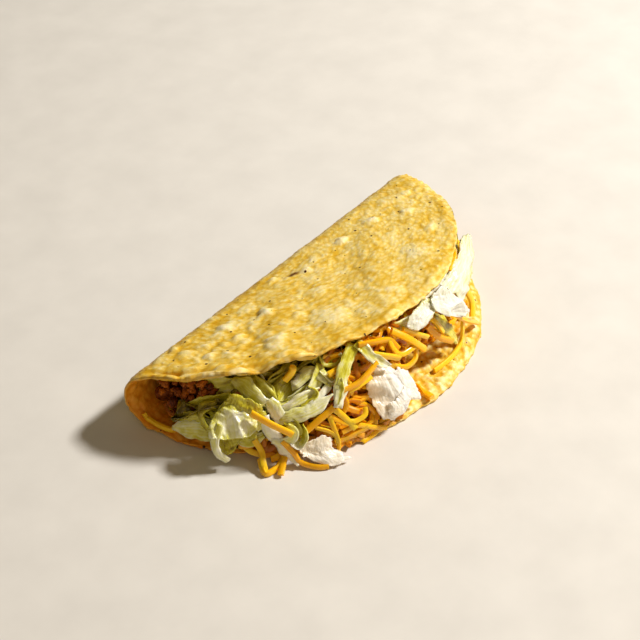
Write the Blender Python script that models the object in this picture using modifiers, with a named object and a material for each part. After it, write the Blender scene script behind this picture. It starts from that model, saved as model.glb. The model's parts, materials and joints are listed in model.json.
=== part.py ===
"""A crunchy corn taco lying on its side, modelled in metres with +Z up.

The shell is one round tortilla bent over a roller. Its lower flap lies flat, the fold runs
along X at the back, and the two flaps open towards -Y. Ground beef lies in the fold,
shredded cheese and shredded lettuce fill the rest, and three large pieces of lettuce lie
on the filling. Each is a closed solid with its own material.
"""
import math

import bpy
import numpy as np
from mathutils import Vector, noise

MM = 0.001

# The shell
TORTILLA_RADIUS = 69.85 * MM      # a 5 1/2 inch tortilla
SHELL_THICKNESS = 2.0 * MM
FOLD_RADIUS = 9.47 * MM           # at the middle of the thickness
OPENING_ANGLE = math.radians(15.2)
FOLD_OFFSET = 3.7 * MM            # the lower flap is this much deeper than the middle
FLAP_CURVATURE = 1.14             # of the upper flap, in 1/m
FLAP_RIPPLE = 0.5 * MM
RIPPLE_LENGTHS = (47 * MM, 39 * MM, 23 * MM)
RIM_WAVER = 0.4 * MM

# The filling
TOUCHING_GAP = 0.35 * MM          # between pieces that touch
FLAP_GAP = 1.0 * MM               # under the rippled upper flap
HEART_GAP = 1.3 * MM              # round the large piece of lettuce heart
CORNER_ROUNDING = 0.7 * MM
BEEF_DEPTH = 13.0 * MM            # from the start of the flaps towards the rims
BEEF_END_DEPTH = 4.5 * MM         # at the ends of the taco
BEEF_LEAN = 0.7                   # it reaches further forward where it is high
BEEF_SPAN = (-64.5 * MM, 64.0 * MM)
LETTUCE_SPAN = (-68.0 * MM, 64.0 * MM)
CHEESE_SPAN = (-63.0 * MM, 60.0 * MM)
HEAP_OVERHANG = 4.5 * MM          # of the filling past the lower rim, at the left
BARE_FLAP = 21.0 * MM             # depth of the lower flap left bare, right of the middle

# Large lettuce pieces
HEART_CENTRE = (-17.3 * MM, -50.0 * MM, 10.0 * MM)
HEART_RADII = (8.8 * MM, 5.0 * MM, 7.6 * MM)
HEART_TILT = math.radians(18)     # it leans back along the mouth
HEART_SQUARENESS = 2.8            # 2 would be an ellipsoid
LEAF_THICKNESS = 1.4 * MM

# Worked out from the above
HALF_ARC = (math.pi - OPENING_ANGLE) / 2 * FOLD_RADIUS
FOLD_HEIGHT = SHELL_THICKNESS / 2 + FOLD_RADIUS
FLAP_START = math.pi - OPENING_ANGLE
FLAP_START_Y = FOLD_RADIUS * math.sin(FLAP_START)
FLAP_START_Z = FOLD_HEIGHT - FOLD_RADIUS * math.cos(FLAP_START)


def srgb(code):
    """Turn a hex colour into the linear values that a shader takes."""
    channels = [int(code[i:i + 2], 16) / 255 for i in (0, 2, 4)]
    return [c / 12.92 if c <= 0.04045 else ((c + 0.055) / 1.055) ** 2.4 for c in channels] + [1.0]


def material(name, colour, roughness):
    """Make a Principled material."""
    made = bpy.data.materials.new(name)
    made.use_nodes = True
    shader = made.node_tree.nodes["Principled BSDF"]
    shader.inputs["Base Color"].default_value = srgb(colour)
    shader.inputs["Roughness"].default_value = roughness
    shader.inputs["Metallic"].default_value = 0.0
    made.diffuse_color = srgb(colour)
    return made


def smoothstep(low, high, value):
    """Rise from 0 at low to 1 at high."""
    share = np.clip((value - low) / (high - low), 0.0, 1.0)
    return share * share * (3 - 2 * share)


def read_points(mesh):
    """Return a mesh's vertices as an array."""
    flat = np.empty(len(mesh.vertices) * 3)
    mesh.vertices.foreach_get("co", flat)
    return flat.reshape(-1, 3)


def write_points(mesh, points):
    """Move a mesh's vertices to new places."""
    mesh.vertices.foreach_set("co", np.ascontiguousarray(points, dtype=float).ravel())
    mesh.update()


def finish_node(obj, name, finish, parts, taco):
    """Name a node, give it its material and put it in the taco."""
    obj.name = name
    obj.data.name = name
    obj.data.materials.append(finish)
    obj.data.shade_smooth()
    for collection in list(obj.users_collection):
        collection.objects.unlink(obj)
    parts.objects.link(obj)
    obj.parent = taco
    return obj


# ---- the fold ----------------------------------------------------------------

def fold(along, across):
    """Bend flat tortilla points round the fold.

    across is the distance from the middle of the fold, positive towards the upper flap.
    """
    arc = np.clip(across, -HALF_ARC, HALF_ARC)
    heading = (arc + HALF_ARC) / FOLD_RADIUS
    y = FOLD_RADIUS * np.sin(heading)
    z = FOLD_HEIGHT - FOLD_RADIUS * np.cos(heading)
    y = y + np.minimum(across + HALF_ARC, 0.0)
    upper = np.maximum(across - HALF_ARC, 0.0)
    tilt = FLAP_START + FLAP_CURVATURE * upper
    y = y + (np.sin(tilt) - math.sin(FLAP_START)) / FLAP_CURVATURE
    z = z - (np.cos(tilt) - math.cos(FLAP_START)) / FLAP_CURVATURE
    return np.stack([along, y, z], axis=-1)


def rim(along, side):
    """Return the rim's points at places along the fold; side is 1 for the upper flap."""
    chord = np.sqrt(np.maximum(TORTILLA_RADIUS ** 2 - along ** 2, 0.0))
    return fold(along, side * chord - FOLD_OFFSET)


def mouth(along, height, proud):
    """Return points on the surface that spans the two rims.

    height runs from 0 at the lower rim to 1 at the upper, and proud is towards -Y.
    """
    low, high = rim(along, -1), rim(along, 1)
    points = low + (high - low) * height[:, None]
    points[:, 1] -= proud
    return points


def upper_flap_height(y):
    """Return the height of the upper flap's middle at a depth y."""
    turn = np.clip(math.sin(FLAP_START) + FLAP_CURVATURE * (np.minimum(y, FLAP_START_Y) - FLAP_START_Y),
                   -1.0, 1.0)
    tilt = math.pi - np.arcsin(turn)
    return FLAP_START_Z - (np.cos(tilt) - math.cos(FLAP_START)) / FLAP_CURVATURE


def make_shell():
    """Shape a grid into a round tortilla and fold it."""
    bpy.ops.mesh.primitive_grid_add(x_subdivisions=28, y_subdivisions=34, size=2)
    shell = bpy.context.object
    grid = read_points(shell.data)
    u = grid[:, 0]
    v = grid[:, 1] * (0.45 + 0.55 * grid[:, 1] ** 2)     # rows lie closer at the fold
    angle = np.arctan2(v, u)
    edge = np.maximum(np.abs(u), np.abs(v))
    radius = TORTILLA_RADIUS + RIM_WAVER * edge ** 4 * (np.sin(5 * angle + 1) + 0.6 * np.sin(11 * angle))
    along = radius * u * np.sqrt(1 - v ** 2 / 2)
    across = radius * v * np.sqrt(1 - u ** 2 / 2) - FOLD_OFFSET
    points = fold(along, across)
    turns = [math.tau / length for length in RIPPLE_LENGTHS]
    ripple = np.sin(turns[0] * along + 1) * np.sin(turns[1] * across)
    ripple += 0.5 * np.sin(turns[2] * (along + across))
    points[:, 2] += FLAP_RIPPLE * ripple * smoothstep(HALF_ARC, HALF_ARC + 15 * MM, across)
    write_points(shell.data, points)
    thicken = shell.modifiers.new("Thickness", "SOLIDIFY")
    thicken.thickness = SHELL_THICKNESS
    thicken.offset = 0.0
    soften = shell.modifiers.new("Rim", "BEVEL")
    soften.width = 0.5 * MM
    soften.segments = 1
    soften.limit_method = "ANGLE"
    soften.angle_limit = math.radians(60)
    return shell


# ---- heaps of filling --------------------------------------------------------

def soft_least(*distances):
    """Return the least of several distances, rounded where two are alike."""
    total = sum(np.exp(-d / CORNER_ROUNDING) for d in distances)
    return -CORNER_ROUNDING * np.log(total)


def clear_of_shell(y, z):
    """Return how far a point inside the fold is from the lower and the upper half of the shell."""
    inner = FOLD_RADIUS - SHELL_THICKNESS / 2 - np.hypot(y, z - FOLD_HEIGHT) - TOUCHING_GAP
    lower = np.where(y < 0, z - SHELL_THICKNESS - TOUCHING_GAP, inner)
    roof = (upper_flap_height(y) - z) * math.cos(OPENING_ANGLE) - SHELL_THICKNESS / 2 - FLAP_GAP
    return lower, np.where(y < FLAP_START_Y, roof, inner)


def front_limit(x, z):
    """Return the depth y at which the filling ends, towards the mouth.

    Right of the middle it is set back on the lower flap, and at the left it hangs over the rim.
    """
    low, high = rim(x, -1), rim(x, 1)
    height = (z - low[:, 2]) / np.maximum(high[:, 2] - low[:, 2], MM)
    bare = BARE_FLAP * smoothstep(-16 * MM, 2 * MM, x) * np.exp(-np.maximum(x - 3 * MM, 0) / (32 * MM))
    overhang = HEAP_OVERHANG * smoothstep(-66 * MM, -56 * MM, x) * smoothstep(-24 * MM, -34 * MM, x)
    set_back = (bare - overhang) * (1 - height) + TOUCHING_GAP
    return low[:, 1] + (high[:, 1] - low[:, 1]) * height + set_back


def cheese_top(x, y):
    """Return the height where the cheese ends and the lettuce begins."""
    share = 0.12 + 0.48 * np.exp(-((x + 8 * MM) / (31 * MM)) ** 2)
    return SHELL_THICKNESS + share * (upper_flap_height(y) - SHELL_THICKNESS)


def clear_of_heart(x, y, z):
    """Return how far a point is from the large piece of lettuce heart."""
    across, down, up = x - HEART_CENTRE[0], y - HEART_CENTRE[1], z - HEART_CENTRE[2]
    depth = down * math.cos(HEART_TILT) - up * math.sin(HEART_TILT)
    height = down * math.sin(HEART_TILT) + up * math.cos(HEART_TILT)
    size = squareness(np.stack([across, depth, height], axis=-1) / HEART_RADII)
    return (size - 1) * min(HEART_RADII) - HEART_GAP


def squareness(points):
    """Measure points so that those on a rounded block give 1."""
    return np.sum(np.abs(points) ** HEART_SQUARENESS, axis=-1) ** (1 / HEART_SQUARENESS)


def beef_edge(x, z):
    """Return the depth y at which the beef ends."""
    depth = BEEF_DEPTH - (BEEF_DEPTH - BEEF_END_DEPTH) * smoothstep(50 * MM, 66 * MM, np.abs(x))
    return -depth - BEEF_LEAN * (z - FOLD_HEIGHT)


def beef_clearance(x, y, z):
    """Return how far a point is inside the room for the beef."""
    lower, roof = clear_of_shell(y, z)
    return soft_least(lower, roof, y - beef_edge(x, z) - TOUCHING_GAP, y - front_limit(x, z))


def lettuce_clearance(x, y, z):
    """Return how far a point is inside the room for the shredded lettuce."""
    lower, roof = clear_of_shell(y, z)
    above_cheese = z - cheese_top(x, y) - TOUCHING_GAP
    before_beef, behind_mouth = beef_edge(x, z) - y, y - front_limit(x, z)
    return soft_least(lower, roof, before_beef, behind_mouth, above_cheese, clear_of_heart(x, y, z))


def cheese_clearance(x, y, z):
    """Return how far a point is inside the room for the shredded cheese."""
    lower, roof = clear_of_shell(y, z)
    below_lettuce = cheese_top(x, y) - z
    before_beef, behind_mouth = beef_edge(x, z) - y, y - front_limit(x, z)
    return soft_least(lower, roof, before_beef, behind_mouth, below_lettuce, clear_of_heart(x, y, z))


def make_heap(span, section, clearance, lump_size, lump_depth, seed):
    """Grow a sphere until it meets everything round it, then press lumps into it.

    section(x) gives the middle (y, z) and the half sizes (y, z) of the room for the heap.
    """
    bpy.ops.mesh.primitive_uv_sphere_add(segments=22, ring_count=30, radius=1)
    heap = bpy.context.object
    ball = read_points(heap.data)
    x = span[0] + (span[1] - span[0]) * (1 + ball[:, 2]) / 2
    angle = np.arctan2(ball[:, 1], ball[:, 0])
    roundness = np.clip(1 - ball[:, 2] ** 2, 0, 1) ** 0.25
    middle_y, middle_z, half_y, half_z = section(x)
    along_y, along_z = half_y * np.cos(angle), half_z * np.sin(angle)
    reach = np.zeros(len(x))
    growing = np.ones(len(x), dtype=bool)
    while growing.any():
        further = reach + 0.01
        growing &= clearance(x, middle_y + further * along_y, middle_z + further * along_z) > 0
        reach[growing] = further[growing]
    for index in range(len(x)):
        surface = Vector((x[index], reach[index] * along_y[index], reach[index] * along_z[index]))
        press = lump_depth * (0.5 + 0.5 * noise.noise(surface / lump_size + Vector((seed, 0, 0))))
        distance = math.hypot(surface.y, surface.z)
        reach[index] *= max(1 - press / max(distance, MM), 0.4)
    reach *= roundness
    write_points(heap.data, np.stack([x, middle_y + reach * along_y, middle_z + reach * along_z], axis=-1))
    return heap


def beef_section(x):
    """Return the room in the fold, which the beef fills."""
    ones = np.ones(len(x))
    back = FOLD_RADIUS - SHELL_THICKNESS / 2
    front = beef_edge(x, FOLD_HEIGHT)
    return (front + back) / 2, FOLD_HEIGHT * ones, (back - front) / 2, back * ones


def front_section(x, floor, roof):
    """Return the room between the beef and the mouth, from a floor to a roof."""
    front = front_limit(x, np.full(len(x), 12 * MM))
    back = beef_edge(x, FOLD_HEIGHT)
    y = (back + front) / 2
    low, high = floor(x, y), roof(x, y)
    return y, (low + high) / 2, np.maximum(back - y, 2 * MM), np.maximum((high - low) / 2, 2 * MM)


def lettuce_section(x):
    """Return the room above the cheese."""
    return front_section(x, cheese_top, lambda x, y: upper_flap_height(y))


def cheese_section(x):
    """Return the room on the lower flap."""
    return front_section(x, lambda x, y: np.full(len(x), SHELL_THICKNESS), cheese_top)


# ---- large pieces of lettuce -------------------------------------------------

def make_heart():
    """Crumple a sphere into a thick piece of lettuce heart."""
    bpy.ops.mesh.primitive_uv_sphere_add(segments=18, ring_count=14, radius=1)
    heart = bpy.context.object
    ball = read_points(heart.data)
    crease = np.array([noise.noise(Vector(p * 1.7) + Vector((3.0, 0, 0))) for p in ball])
    size = (0.88 + 0.22 * np.clip(crease, -0.5, 0.5)) / squareness(ball)
    write_points(heart.data, ball * np.array(HEART_RADII) * size[:, None])
    heart.location = HEART_CENTRE
    heart.rotation_euler.x = -HEART_TILT
    return heart


def make_leaf(span, heights, slant, proud, curl, folds):
    """Drape a leaf over the mouth of the taco.

    span is its places along X; heights are those of its bottom and top in the mouth; slant
    lifts its right end; proud is how far its bottom and its top stand out; curl is the depth
    of its folds.
    """
    bpy.ops.mesh.primitive_grid_add(x_subdivisions=11, y_subdivisions=8, size=1)
    leaf = bpy.context.object
    grid = read_points(leaf.data)
    u, v = grid[:, 0] + 0.5, grid[:, 1] + 0.5
    waist = 1 - 0.25 * (2 * v - 1) ** 2 + 0.06 * np.sin(9 * v + 1)
    x = (span[0] + span[1]) / 2 + (span[1] - span[0]) * (u - 0.5) * waist
    raggedness = 0.07 * np.sin(7 * u + 1) * (2 * v - 1)
    height = heights[0] + (heights[1] - heights[0]) * (v + raggedness) + slant * (u - 0.5)
    ruffle = np.sin(folds * math.pi * u + 2.5 * v)
    out = proud[0] + (proud[1] - proud[0]) * v + curl * (1 + ruffle) / 2
    points = mouth(x, height, out)
    points[:, 2] = np.maximum(points[:, 2], LEAF_THICKNESS)
    write_points(leaf.data, points)
    thicken = leaf.modifiers.new("Thickness", "SOLIDIFY")
    thicken.thickness = LEAF_THICKNESS
    thicken.offset = 0.0
    return leaf


# ---- the whole ---------------------------------------------------------------

def stand_on_origin(taco, parts):
    """Move the taco so that the bottom centre of its box is at the origin."""
    bpy.context.view_layer.update()
    graph = bpy.context.evaluated_depsgraph_get()
    corners = []
    for obj in parts.objects:
        if obj.type == "MESH":
            corners.extend(obj.matrix_world @ v.co for v in obj.evaluated_get(graph).data.vertices)
    low, high = np.min(corners, axis=0), np.max(corners, axis=0)
    taco.location = (-(low[0] + high[0]) / 2, -(low[1] + high[1]) / 2, -low[2])


def build():
    """Model the whole taco."""
    for obj in list(bpy.data.objects):
        bpy.data.objects.remove(obj, do_unlink=True)
    parts = bpy.data.collections.new("taco")
    bpy.context.scene.collection.children.link(parts)
    taco = bpy.data.objects.new("taco_frame", None)
    parts.objects.link(taco)

    corn = material("toasted corn", "D9AE4E", 0.65)
    beef = material("browned beef", "5A2E1A", 0.7)
    green = material("shredded lettuce", "B9C27A", 0.45)
    cheddar = material("cheddar", "EFA321", 0.4)
    white = material("lettuce heart", "ECEBD6", 0.4)

    finish_node(make_shell(), "corn_shell", corn, parts, taco)
    ground_beef = make_heap(BEEF_SPAN, beef_section, beef_clearance, 5 * MM, 1.5 * MM, 1.0)
    finish_node(ground_beef, "ground_beef", beef, parts, taco)
    shredded_lettuce = make_heap(LETTUCE_SPAN, lettuce_section, lettuce_clearance, 7 * MM, 1.6 * MM, 5.0)
    finish_node(shredded_lettuce, "shredded_lettuce", green, parts, taco)
    shredded_cheese = make_heap(CHEESE_SPAN, cheese_section, cheese_clearance, 5 * MM, 1.2 * MM, 8.0)
    finish_node(shredded_cheese, "shredded_cheese", cheddar, parts, taco)
    finish_node(make_heart(), "lettuce_heart", white, parts, taco)
    left_leaf = make_leaf((-66 * MM, -56 * MM), (-0.02, 0.46), 0.2, (5.6 * MM, 3.6 * MM), 1.2 * MM, 2.0)
    finish_node(left_leaf, "lettuce_leaf_left", green, parts, taco)
    low_leaf = make_leaf((-51 * MM, -41 * MM), (0.02, 0.25), 0.0, (10.0 * MM, 5.4 * MM), 0.8 * MM, 1.5)
    finish_node(low_leaf, "lettuce_leaf_low", white, parts, taco)
    right_leaf = make_leaf((11 * MM, 50 * MM), (0.42, 0.88), 0.0, (0.4 * MM, 0.7 * MM), 0.8 * MM, 1.5)
    finish_node(right_leaf, "lettuce_leaf_right", white, parts, taco)

    stand_on_origin(taco, parts)


build()
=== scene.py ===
# %% [markdown]
# # A crisp corn taco
# The real thing is one thin corn tortilla, fried hard while it was bent over a roller, and filled
# with browned ground beef, shredded cheddar and shredded iceberg lettuce. It lies on its side, so
# one flap is flat on the table and the other leans over the filling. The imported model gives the
# size and place of each part. This lesson dresses it: every piece is worked out in millimetres
# from the same bend that the model has, and then moved into the model's frame.
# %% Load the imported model
import json
import math

import bpy
import numpy as np
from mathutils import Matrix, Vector, noise


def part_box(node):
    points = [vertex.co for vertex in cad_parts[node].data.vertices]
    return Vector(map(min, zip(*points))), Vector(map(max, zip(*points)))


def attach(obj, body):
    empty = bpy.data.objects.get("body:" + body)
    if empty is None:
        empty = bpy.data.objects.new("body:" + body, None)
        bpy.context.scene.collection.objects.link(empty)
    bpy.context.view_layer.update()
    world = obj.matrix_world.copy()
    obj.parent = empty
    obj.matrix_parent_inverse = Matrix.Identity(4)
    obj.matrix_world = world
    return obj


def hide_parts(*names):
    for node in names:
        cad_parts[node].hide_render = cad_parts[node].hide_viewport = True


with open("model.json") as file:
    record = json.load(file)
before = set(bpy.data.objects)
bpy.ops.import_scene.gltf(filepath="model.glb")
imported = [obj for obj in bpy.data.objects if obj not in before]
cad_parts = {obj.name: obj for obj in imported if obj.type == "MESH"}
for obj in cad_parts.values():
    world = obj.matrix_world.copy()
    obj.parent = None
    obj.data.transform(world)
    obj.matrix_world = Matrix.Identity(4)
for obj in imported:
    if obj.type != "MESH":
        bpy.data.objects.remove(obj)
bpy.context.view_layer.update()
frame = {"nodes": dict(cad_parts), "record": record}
slots = sorted(entry["slot"] for entry in frame["record"]["materials"])
print("slots:", slots)

# %% [markdown]
# A tortilla is flat before it is fried, so each point of it has a place along the fold and a
# distance across it. `fold` bends such points round a roller and sets the upper flap at its slope.
# Everything else is placed by the two rims, which `rim` gives.
# %% Bend a flat tortilla
MM = 0.001
TORTILLA_RADIUS = 69.85          # all lengths in millimetres
SHELL_THICKNESS = 2.0
FOLD_RADIUS = 9.47
OPENING_ANGLE = math.radians(15.2)
FOLD_OFFSET = 3.7
FLAP_CURVATURE = 0.00114
HALF_ARC = (math.pi - OPENING_ANGLE) / 2 * FOLD_RADIUS
FOLD_HEIGHT = SHELL_THICKNESS / 2 + FOLD_RADIUS
FLAP_START = math.pi - OPENING_ANGLE

shell_low, shell_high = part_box("corn_shell")
FRAME_SHIFT = np.array([
    (shell_low.x + shell_high.x) / 2 / MM,
    shell_high.y / MM - FOLD_RADIUS - SHELL_THICKNESS / 2,
    shell_low.z / MM,
])


def fold(along, across):
    """Bend flat points round the fold; across is positive towards the upper flap."""
    arc = np.clip(across, -HALF_ARC, HALF_ARC)
    heading = (arc + HALF_ARC) / FOLD_RADIUS
    y = FOLD_RADIUS * np.sin(heading) + np.minimum(across + HALF_ARC, 0.0)
    z = FOLD_HEIGHT - FOLD_RADIUS * np.cos(heading)
    tilt = FLAP_START + FLAP_CURVATURE * np.maximum(across - HALF_ARC, 0.0)
    y = y + (np.sin(tilt) - math.sin(FLAP_START)) / FLAP_CURVATURE
    z = z - (np.cos(tilt) - math.cos(FLAP_START)) / FLAP_CURVATURE
    return np.stack([along + 0 * y, y, z], axis=-1)


def rim(along, side):
    """Return rim points at places along the fold; side is 1 for the upper flap."""
    chord = np.sqrt(np.maximum(TORTILLA_RADIUS ** 2 - along ** 2, 0.0))
    return fold(along, side * chord - FOLD_OFFSET)


print("mouth at the middle:", rim(np.array([0.0]), -1).round(1), rim(np.array([0.0]), 1).round(1))

# %% [markdown]
# The camera looks down at the open side from the left, so a viewer sees into the mouth and over
# the upper flap. It stands far off and has a long lens, because a near camera with a wide lens
# would swell the end that is nearest.
# %% Camera
CAMERA_AZIMUTH = math.radians(-51.8)
CAMERA_ELEVATION = math.radians(40.0)
CAMERA_DISTANCE = 491.3
CAMERA_TARGET = np.array([4.7, -7.1, 0.0])
LENS, SENSOR_WIDTH = 83.25, 36
NEAREST, FARTHEST = 0.01, 20                # metres between which the camera sees


def direction(azimuth, elevation):
    """Return the unit vector from the taco towards an azimuth and elevation in radians."""
    return np.array([
        math.sin(azimuth) * math.cos(elevation),
        -math.cos(azimuth) * math.cos(elevation),
        math.sin(elevation),
    ])


towards_camera = direction(CAMERA_AZIMUTH, CAMERA_ELEVATION)
camera = bpy.data.objects.new("camera", bpy.data.cameras.new("camera"))
bpy.context.scene.collection.objects.link(camera)
camera.location = (CAMERA_TARGET + FRAME_SHIFT + towards_camera * CAMERA_DISTANCE) * MM
camera.rotation_euler = Vector(-towards_camera).to_track_quat("-Z", "Y").to_euler()
camera.data.lens = LENS
camera.data.sensor_width = SENSOR_WIDTH
camera.data.clip_start, camera.data.clip_end = NEAREST, FARTHEST
bpy.context.scene.camera = camera
bpy.context.scene.view_settings.view_transform = "Standard"      # colours come out as they are mixed
print("camera at", [round(v, 3) for v in camera.location])

# %% [markdown]
# One soft lamp hangs high at the right, so it reaches into the right half of the mouth, and the
# flap shades the left half. A bigger, weaker, warmer lamp on the camera's side stands for the
# light that comes back from a table, and a pale surround fills the rest. A sky picture could do
# the same, but two lamps are easier to aim.
# %% Lights
KEY_DIRECTION = direction(math.radians(54), math.radians(46))
KEY_DISTANCE, KEY_SIZE, KEY_POWER = 1.2, 0.16, 19.5          # metres, metres and watts
KEY_COLOUR = (1.0, 0.97, 0.92)
FILL_DIRECTION = direction(math.radians(-25), math.radians(24))
FILL_DISTANCE, FILL_SIZE, FILL_POWER = 1.4, 0.9, 2.3
FILL_COLOUR = (1.0, 0.68, 0.36)
SURROUND_COLOUR, SURROUND_STRENGTH = (1.0, 0.85, 0.58, 1.0), 0.17


def add_lamp(name, towards, distance, size, power, colour):
    """Hang a square soft lamp in a direction, facing the taco."""
    lamp = bpy.data.objects.new(name, bpy.data.lights.new(name, "AREA"))
    bpy.context.scene.collection.objects.link(lamp)
    lamp.location = Vector(towards * distance)
    lamp.rotation_euler = Vector(-towards).to_track_quat("-Z", "Y").to_euler()
    lamp.data.size = size
    lamp.data.energy = power
    lamp.data.color = colour
    return lamp


add_lamp("key", KEY_DIRECTION, KEY_DISTANCE, KEY_SIZE, KEY_POWER, KEY_COLOUR)
add_lamp("soft fill", FILL_DIRECTION, FILL_DISTANCE, FILL_SIZE, FILL_POWER, FILL_COLOUR)
world = bpy.data.worlds.new("studio")
bpy.context.scene.world = world
world.use_nodes = True
surround = world.node_tree.nodes["Background"]
surround.inputs["Color"].default_value = SURROUND_COLOUR
surround.inputs["Strength"].default_value = SURROUND_STRENGTH

# %% [markdown]
# Colours are written as the hex codes that a paint program shows, and `srgb` turns them into the
# linear values that a shader takes. `add_node` places one node with its settings and links, and
# `finish` joins a colour and a bump to the shader and sets its plain values. Nodes made by code
# can be read from top to bottom, which a drawn tree of nodes can't.
# %% Helpers for materials
def srgb(code):
    """Turn a hex colour into linear red, green, blue and alpha."""
    channels = [int(code[i:i + 2], 16) / 255 for i in (0, 2, 4)]
    return [c / 12.92 if c <= 0.04045 else ((c + 0.055) / 1.055) ** 2.4 for c in channels] + [1.0]


def add_node(material, kind, settings=None, **inputs):
    """Add a node; settings are its properties and inputs its values or the sockets they come from.

    An underscore in an input's name stands for a space, and a number stands for its place.
    """
    tree = material.node_tree
    made = tree.nodes.new(kind)
    for key, value in (settings or {}).items():
        setattr(made, key, value)
    for key, value in inputs.items():
        numbered = key.startswith("in") and key[2:].isdigit()
        socket = made.inputs[int(key[2:]) if numbered else key.replace("_", " ")]
        if isinstance(value, bpy.types.NodeSocket):
            tree.links.new(value, socket)
        else:
            socket.default_value = value
    return made


def start_material(name):
    """Make a material, which starts with one Principled shader."""
    material = bpy.data.materials.new(name)
    material.use_nodes = True
    return material


def finish(material, colour, bump=None, **values):
    """Join a colour and a bump to a material's shader and set the shader's plain values."""
    shader = material.node_tree.nodes["Principled BSDF"]
    material.node_tree.links.new(colour, shader.inputs["Base Color"])
    if bump:
        material.node_tree.links.new(bump.outputs["Normal"], shader.inputs["Normal"])
    for key, value in values.items():
        shader.inputs[key.replace("_", " ")].default_value = value


def set_ramp(ramp, stops):
    """Give a colour ramp its stops, which are places and hex colours, and return it."""
    elements = ramp.color_ramp.elements
    while len(elements) < len(stops):
        elements.new(0.5)
    for element, (place, colour) in zip(elements, stops):
        element.position = place
        element.color = srgb(colour)
    return ramp


print("half-bright grey is", round(srgb("808080")[0], 2), "of white's light")

# %% [markdown]
# The floor is a plain matt sheet, a little warm, with a faint uneven tone that keeps it from
# looking like nothing at all.
# %% Floor
FLOOR_SIZE = 6.0
bpy.ops.object.select_all(action="DESELECT")
bpy.ops.mesh.primitive_plane_add(size=FLOOR_SIZE, location=(0, 0, 0))
floor = bpy.context.object
floor.name = "floor"
paper = start_material("matt white paper")
paper_grain = add_node(paper, "ShaderNodeTexNoise", Scale=60.0, Detail=3.0,
                       Vector=add_node(paper, "ShaderNodeTexCoord").outputs["Object"])
paper_tone = set_ramp(add_node(paper, "ShaderNodeValToRGB", Fac=paper_grain.outputs["Fac"]),
                      [(0.3, "dad6d0"), (0.7, "e1ddd7")])
finish(paper, paper_tone.outputs["Color"], Roughness=0.8)
floor.data.materials.append(paper)
print("floor:", FLOOR_SIZE, "m wide")

# %% [markdown]
# Fried corn dough is never smooth. Steam lifts it into round blisters of many sizes, and between
# them it stays grainy. `lumps` gives soft noise and `blisters` gives domes, both from tables of
# seeded random numbers, so the taco is the same each time.
# %% Noise for food
TABLE = 128                      # cells along each side of a table of random numbers


def smoothstep(low, high, value):
    """Rise from 0 at low to 1 at high."""
    share = np.clip((value - low) / (high - low), 0.0, 1.0)
    return share * share * (3 - 2 * share)


def lumps(u, v, size, seed):
    """Return soft noise from -1 to 1, in lumps about size wide."""
    table = np.random.default_rng(seed).uniform(-1, 1, (TABLE, TABLE))
    x, y = u / size, v / size
    i, j = np.floor(x).astype(int), np.floor(y).astype(int)
    f, g = x - i, y - j
    f, g = f * f * (3 - 2 * f), g * g * (3 - 2 * g)
    low, high = (table[i % TABLE, (j + up) % TABLE] * (1 - f)
                 + table[(i + 1) % TABLE, (j + up) % TABLE] * f for up in (0, 1))
    return low * (1 - g) + high * g


def blisters(u, v, spacing, seed, smallest=0.2, largest=0.5):
    """Return round domes at random places, up to 1 high; sizes are shares of their spacing."""
    shift_u, shift_v, sizes, heights = np.random.default_rng(seed).random((4, TABLE, TABLE))
    x, y = u / spacing, v / spacing
    i, j = np.floor(x).astype(int), np.floor(y).astype(int)
    height = np.zeros(x.shape)
    for a in (-1, 0, 1):
        for b in (-1, 0, 1):
            cell = ((i + a) % TABLE, (j + b) % TABLE)
            radius = smallest + (largest - smallest) * sizes[cell] ** 1.5
            away = np.hypot(i + a + 0.15 + 0.7 * shift_u[cell] - x,
                            j + b + 0.15 + 0.7 * shift_v[cell] - y)
            dome = np.sqrt(np.clip(1 - (away / radius) ** 2, 0, 1))
            height = np.maximum(height, dome * (radius / largest) * (0.5 + 0.5 * heights[cell]))
    return height


tried = blisters(*np.meshgrid(np.arange(20.0), np.arange(20.0)), 5.0, 1)
print("blisters cover", round(float(np.mean(tried > 0)), 2), "of a trial patch")

# %% [markdown]
# Food needs many small moves of many points. A loop over a mesh's vertices is slow, so the points
# are read into an array, moved all at once and written back. `paint` stores a number for each
# point, which a material reads with an Attribute node, so a pattern follows the bent surface.
# `add_piece` does what each finished piece needs: a name, a finish and soft shading.
# %% Helpers for meshes
def read_points(mesh):
    """Return a mesh's vertices as an array, in millimetres."""
    flat = np.empty(len(mesh.vertices) * 3)
    mesh.vertices.foreach_get("co", flat)
    return flat.reshape(-1, 3) / MM


def write_points(mesh, points):
    """Move a mesh's vertices to places in millimetres."""
    mesh.vertices.foreach_set("co", np.ascontiguousarray(points * MM, dtype=float).ravel())
    mesh.update()


def read_normals(mesh):
    """Return the vertices' outward normals as an array."""
    flat = np.empty(len(mesh.vertices) * 3)
    mesh.vertex_normals.foreach_get("vector", flat)
    return flat.reshape(-1, 3)


def paint(mesh, name, values):
    """Store a number or a vector for each vertex, for a material to read."""
    values = np.asarray(values, dtype=np.float32)
    kind, key = ("FLOAT", "value") if values.ndim == 1 else ("FLOAT_VECTOR", "vector")
    layer = mesh.attributes.get(name) or mesh.attributes.new(name, kind, "POINT")
    layer.data.foreach_set(key, values.ravel())


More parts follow.
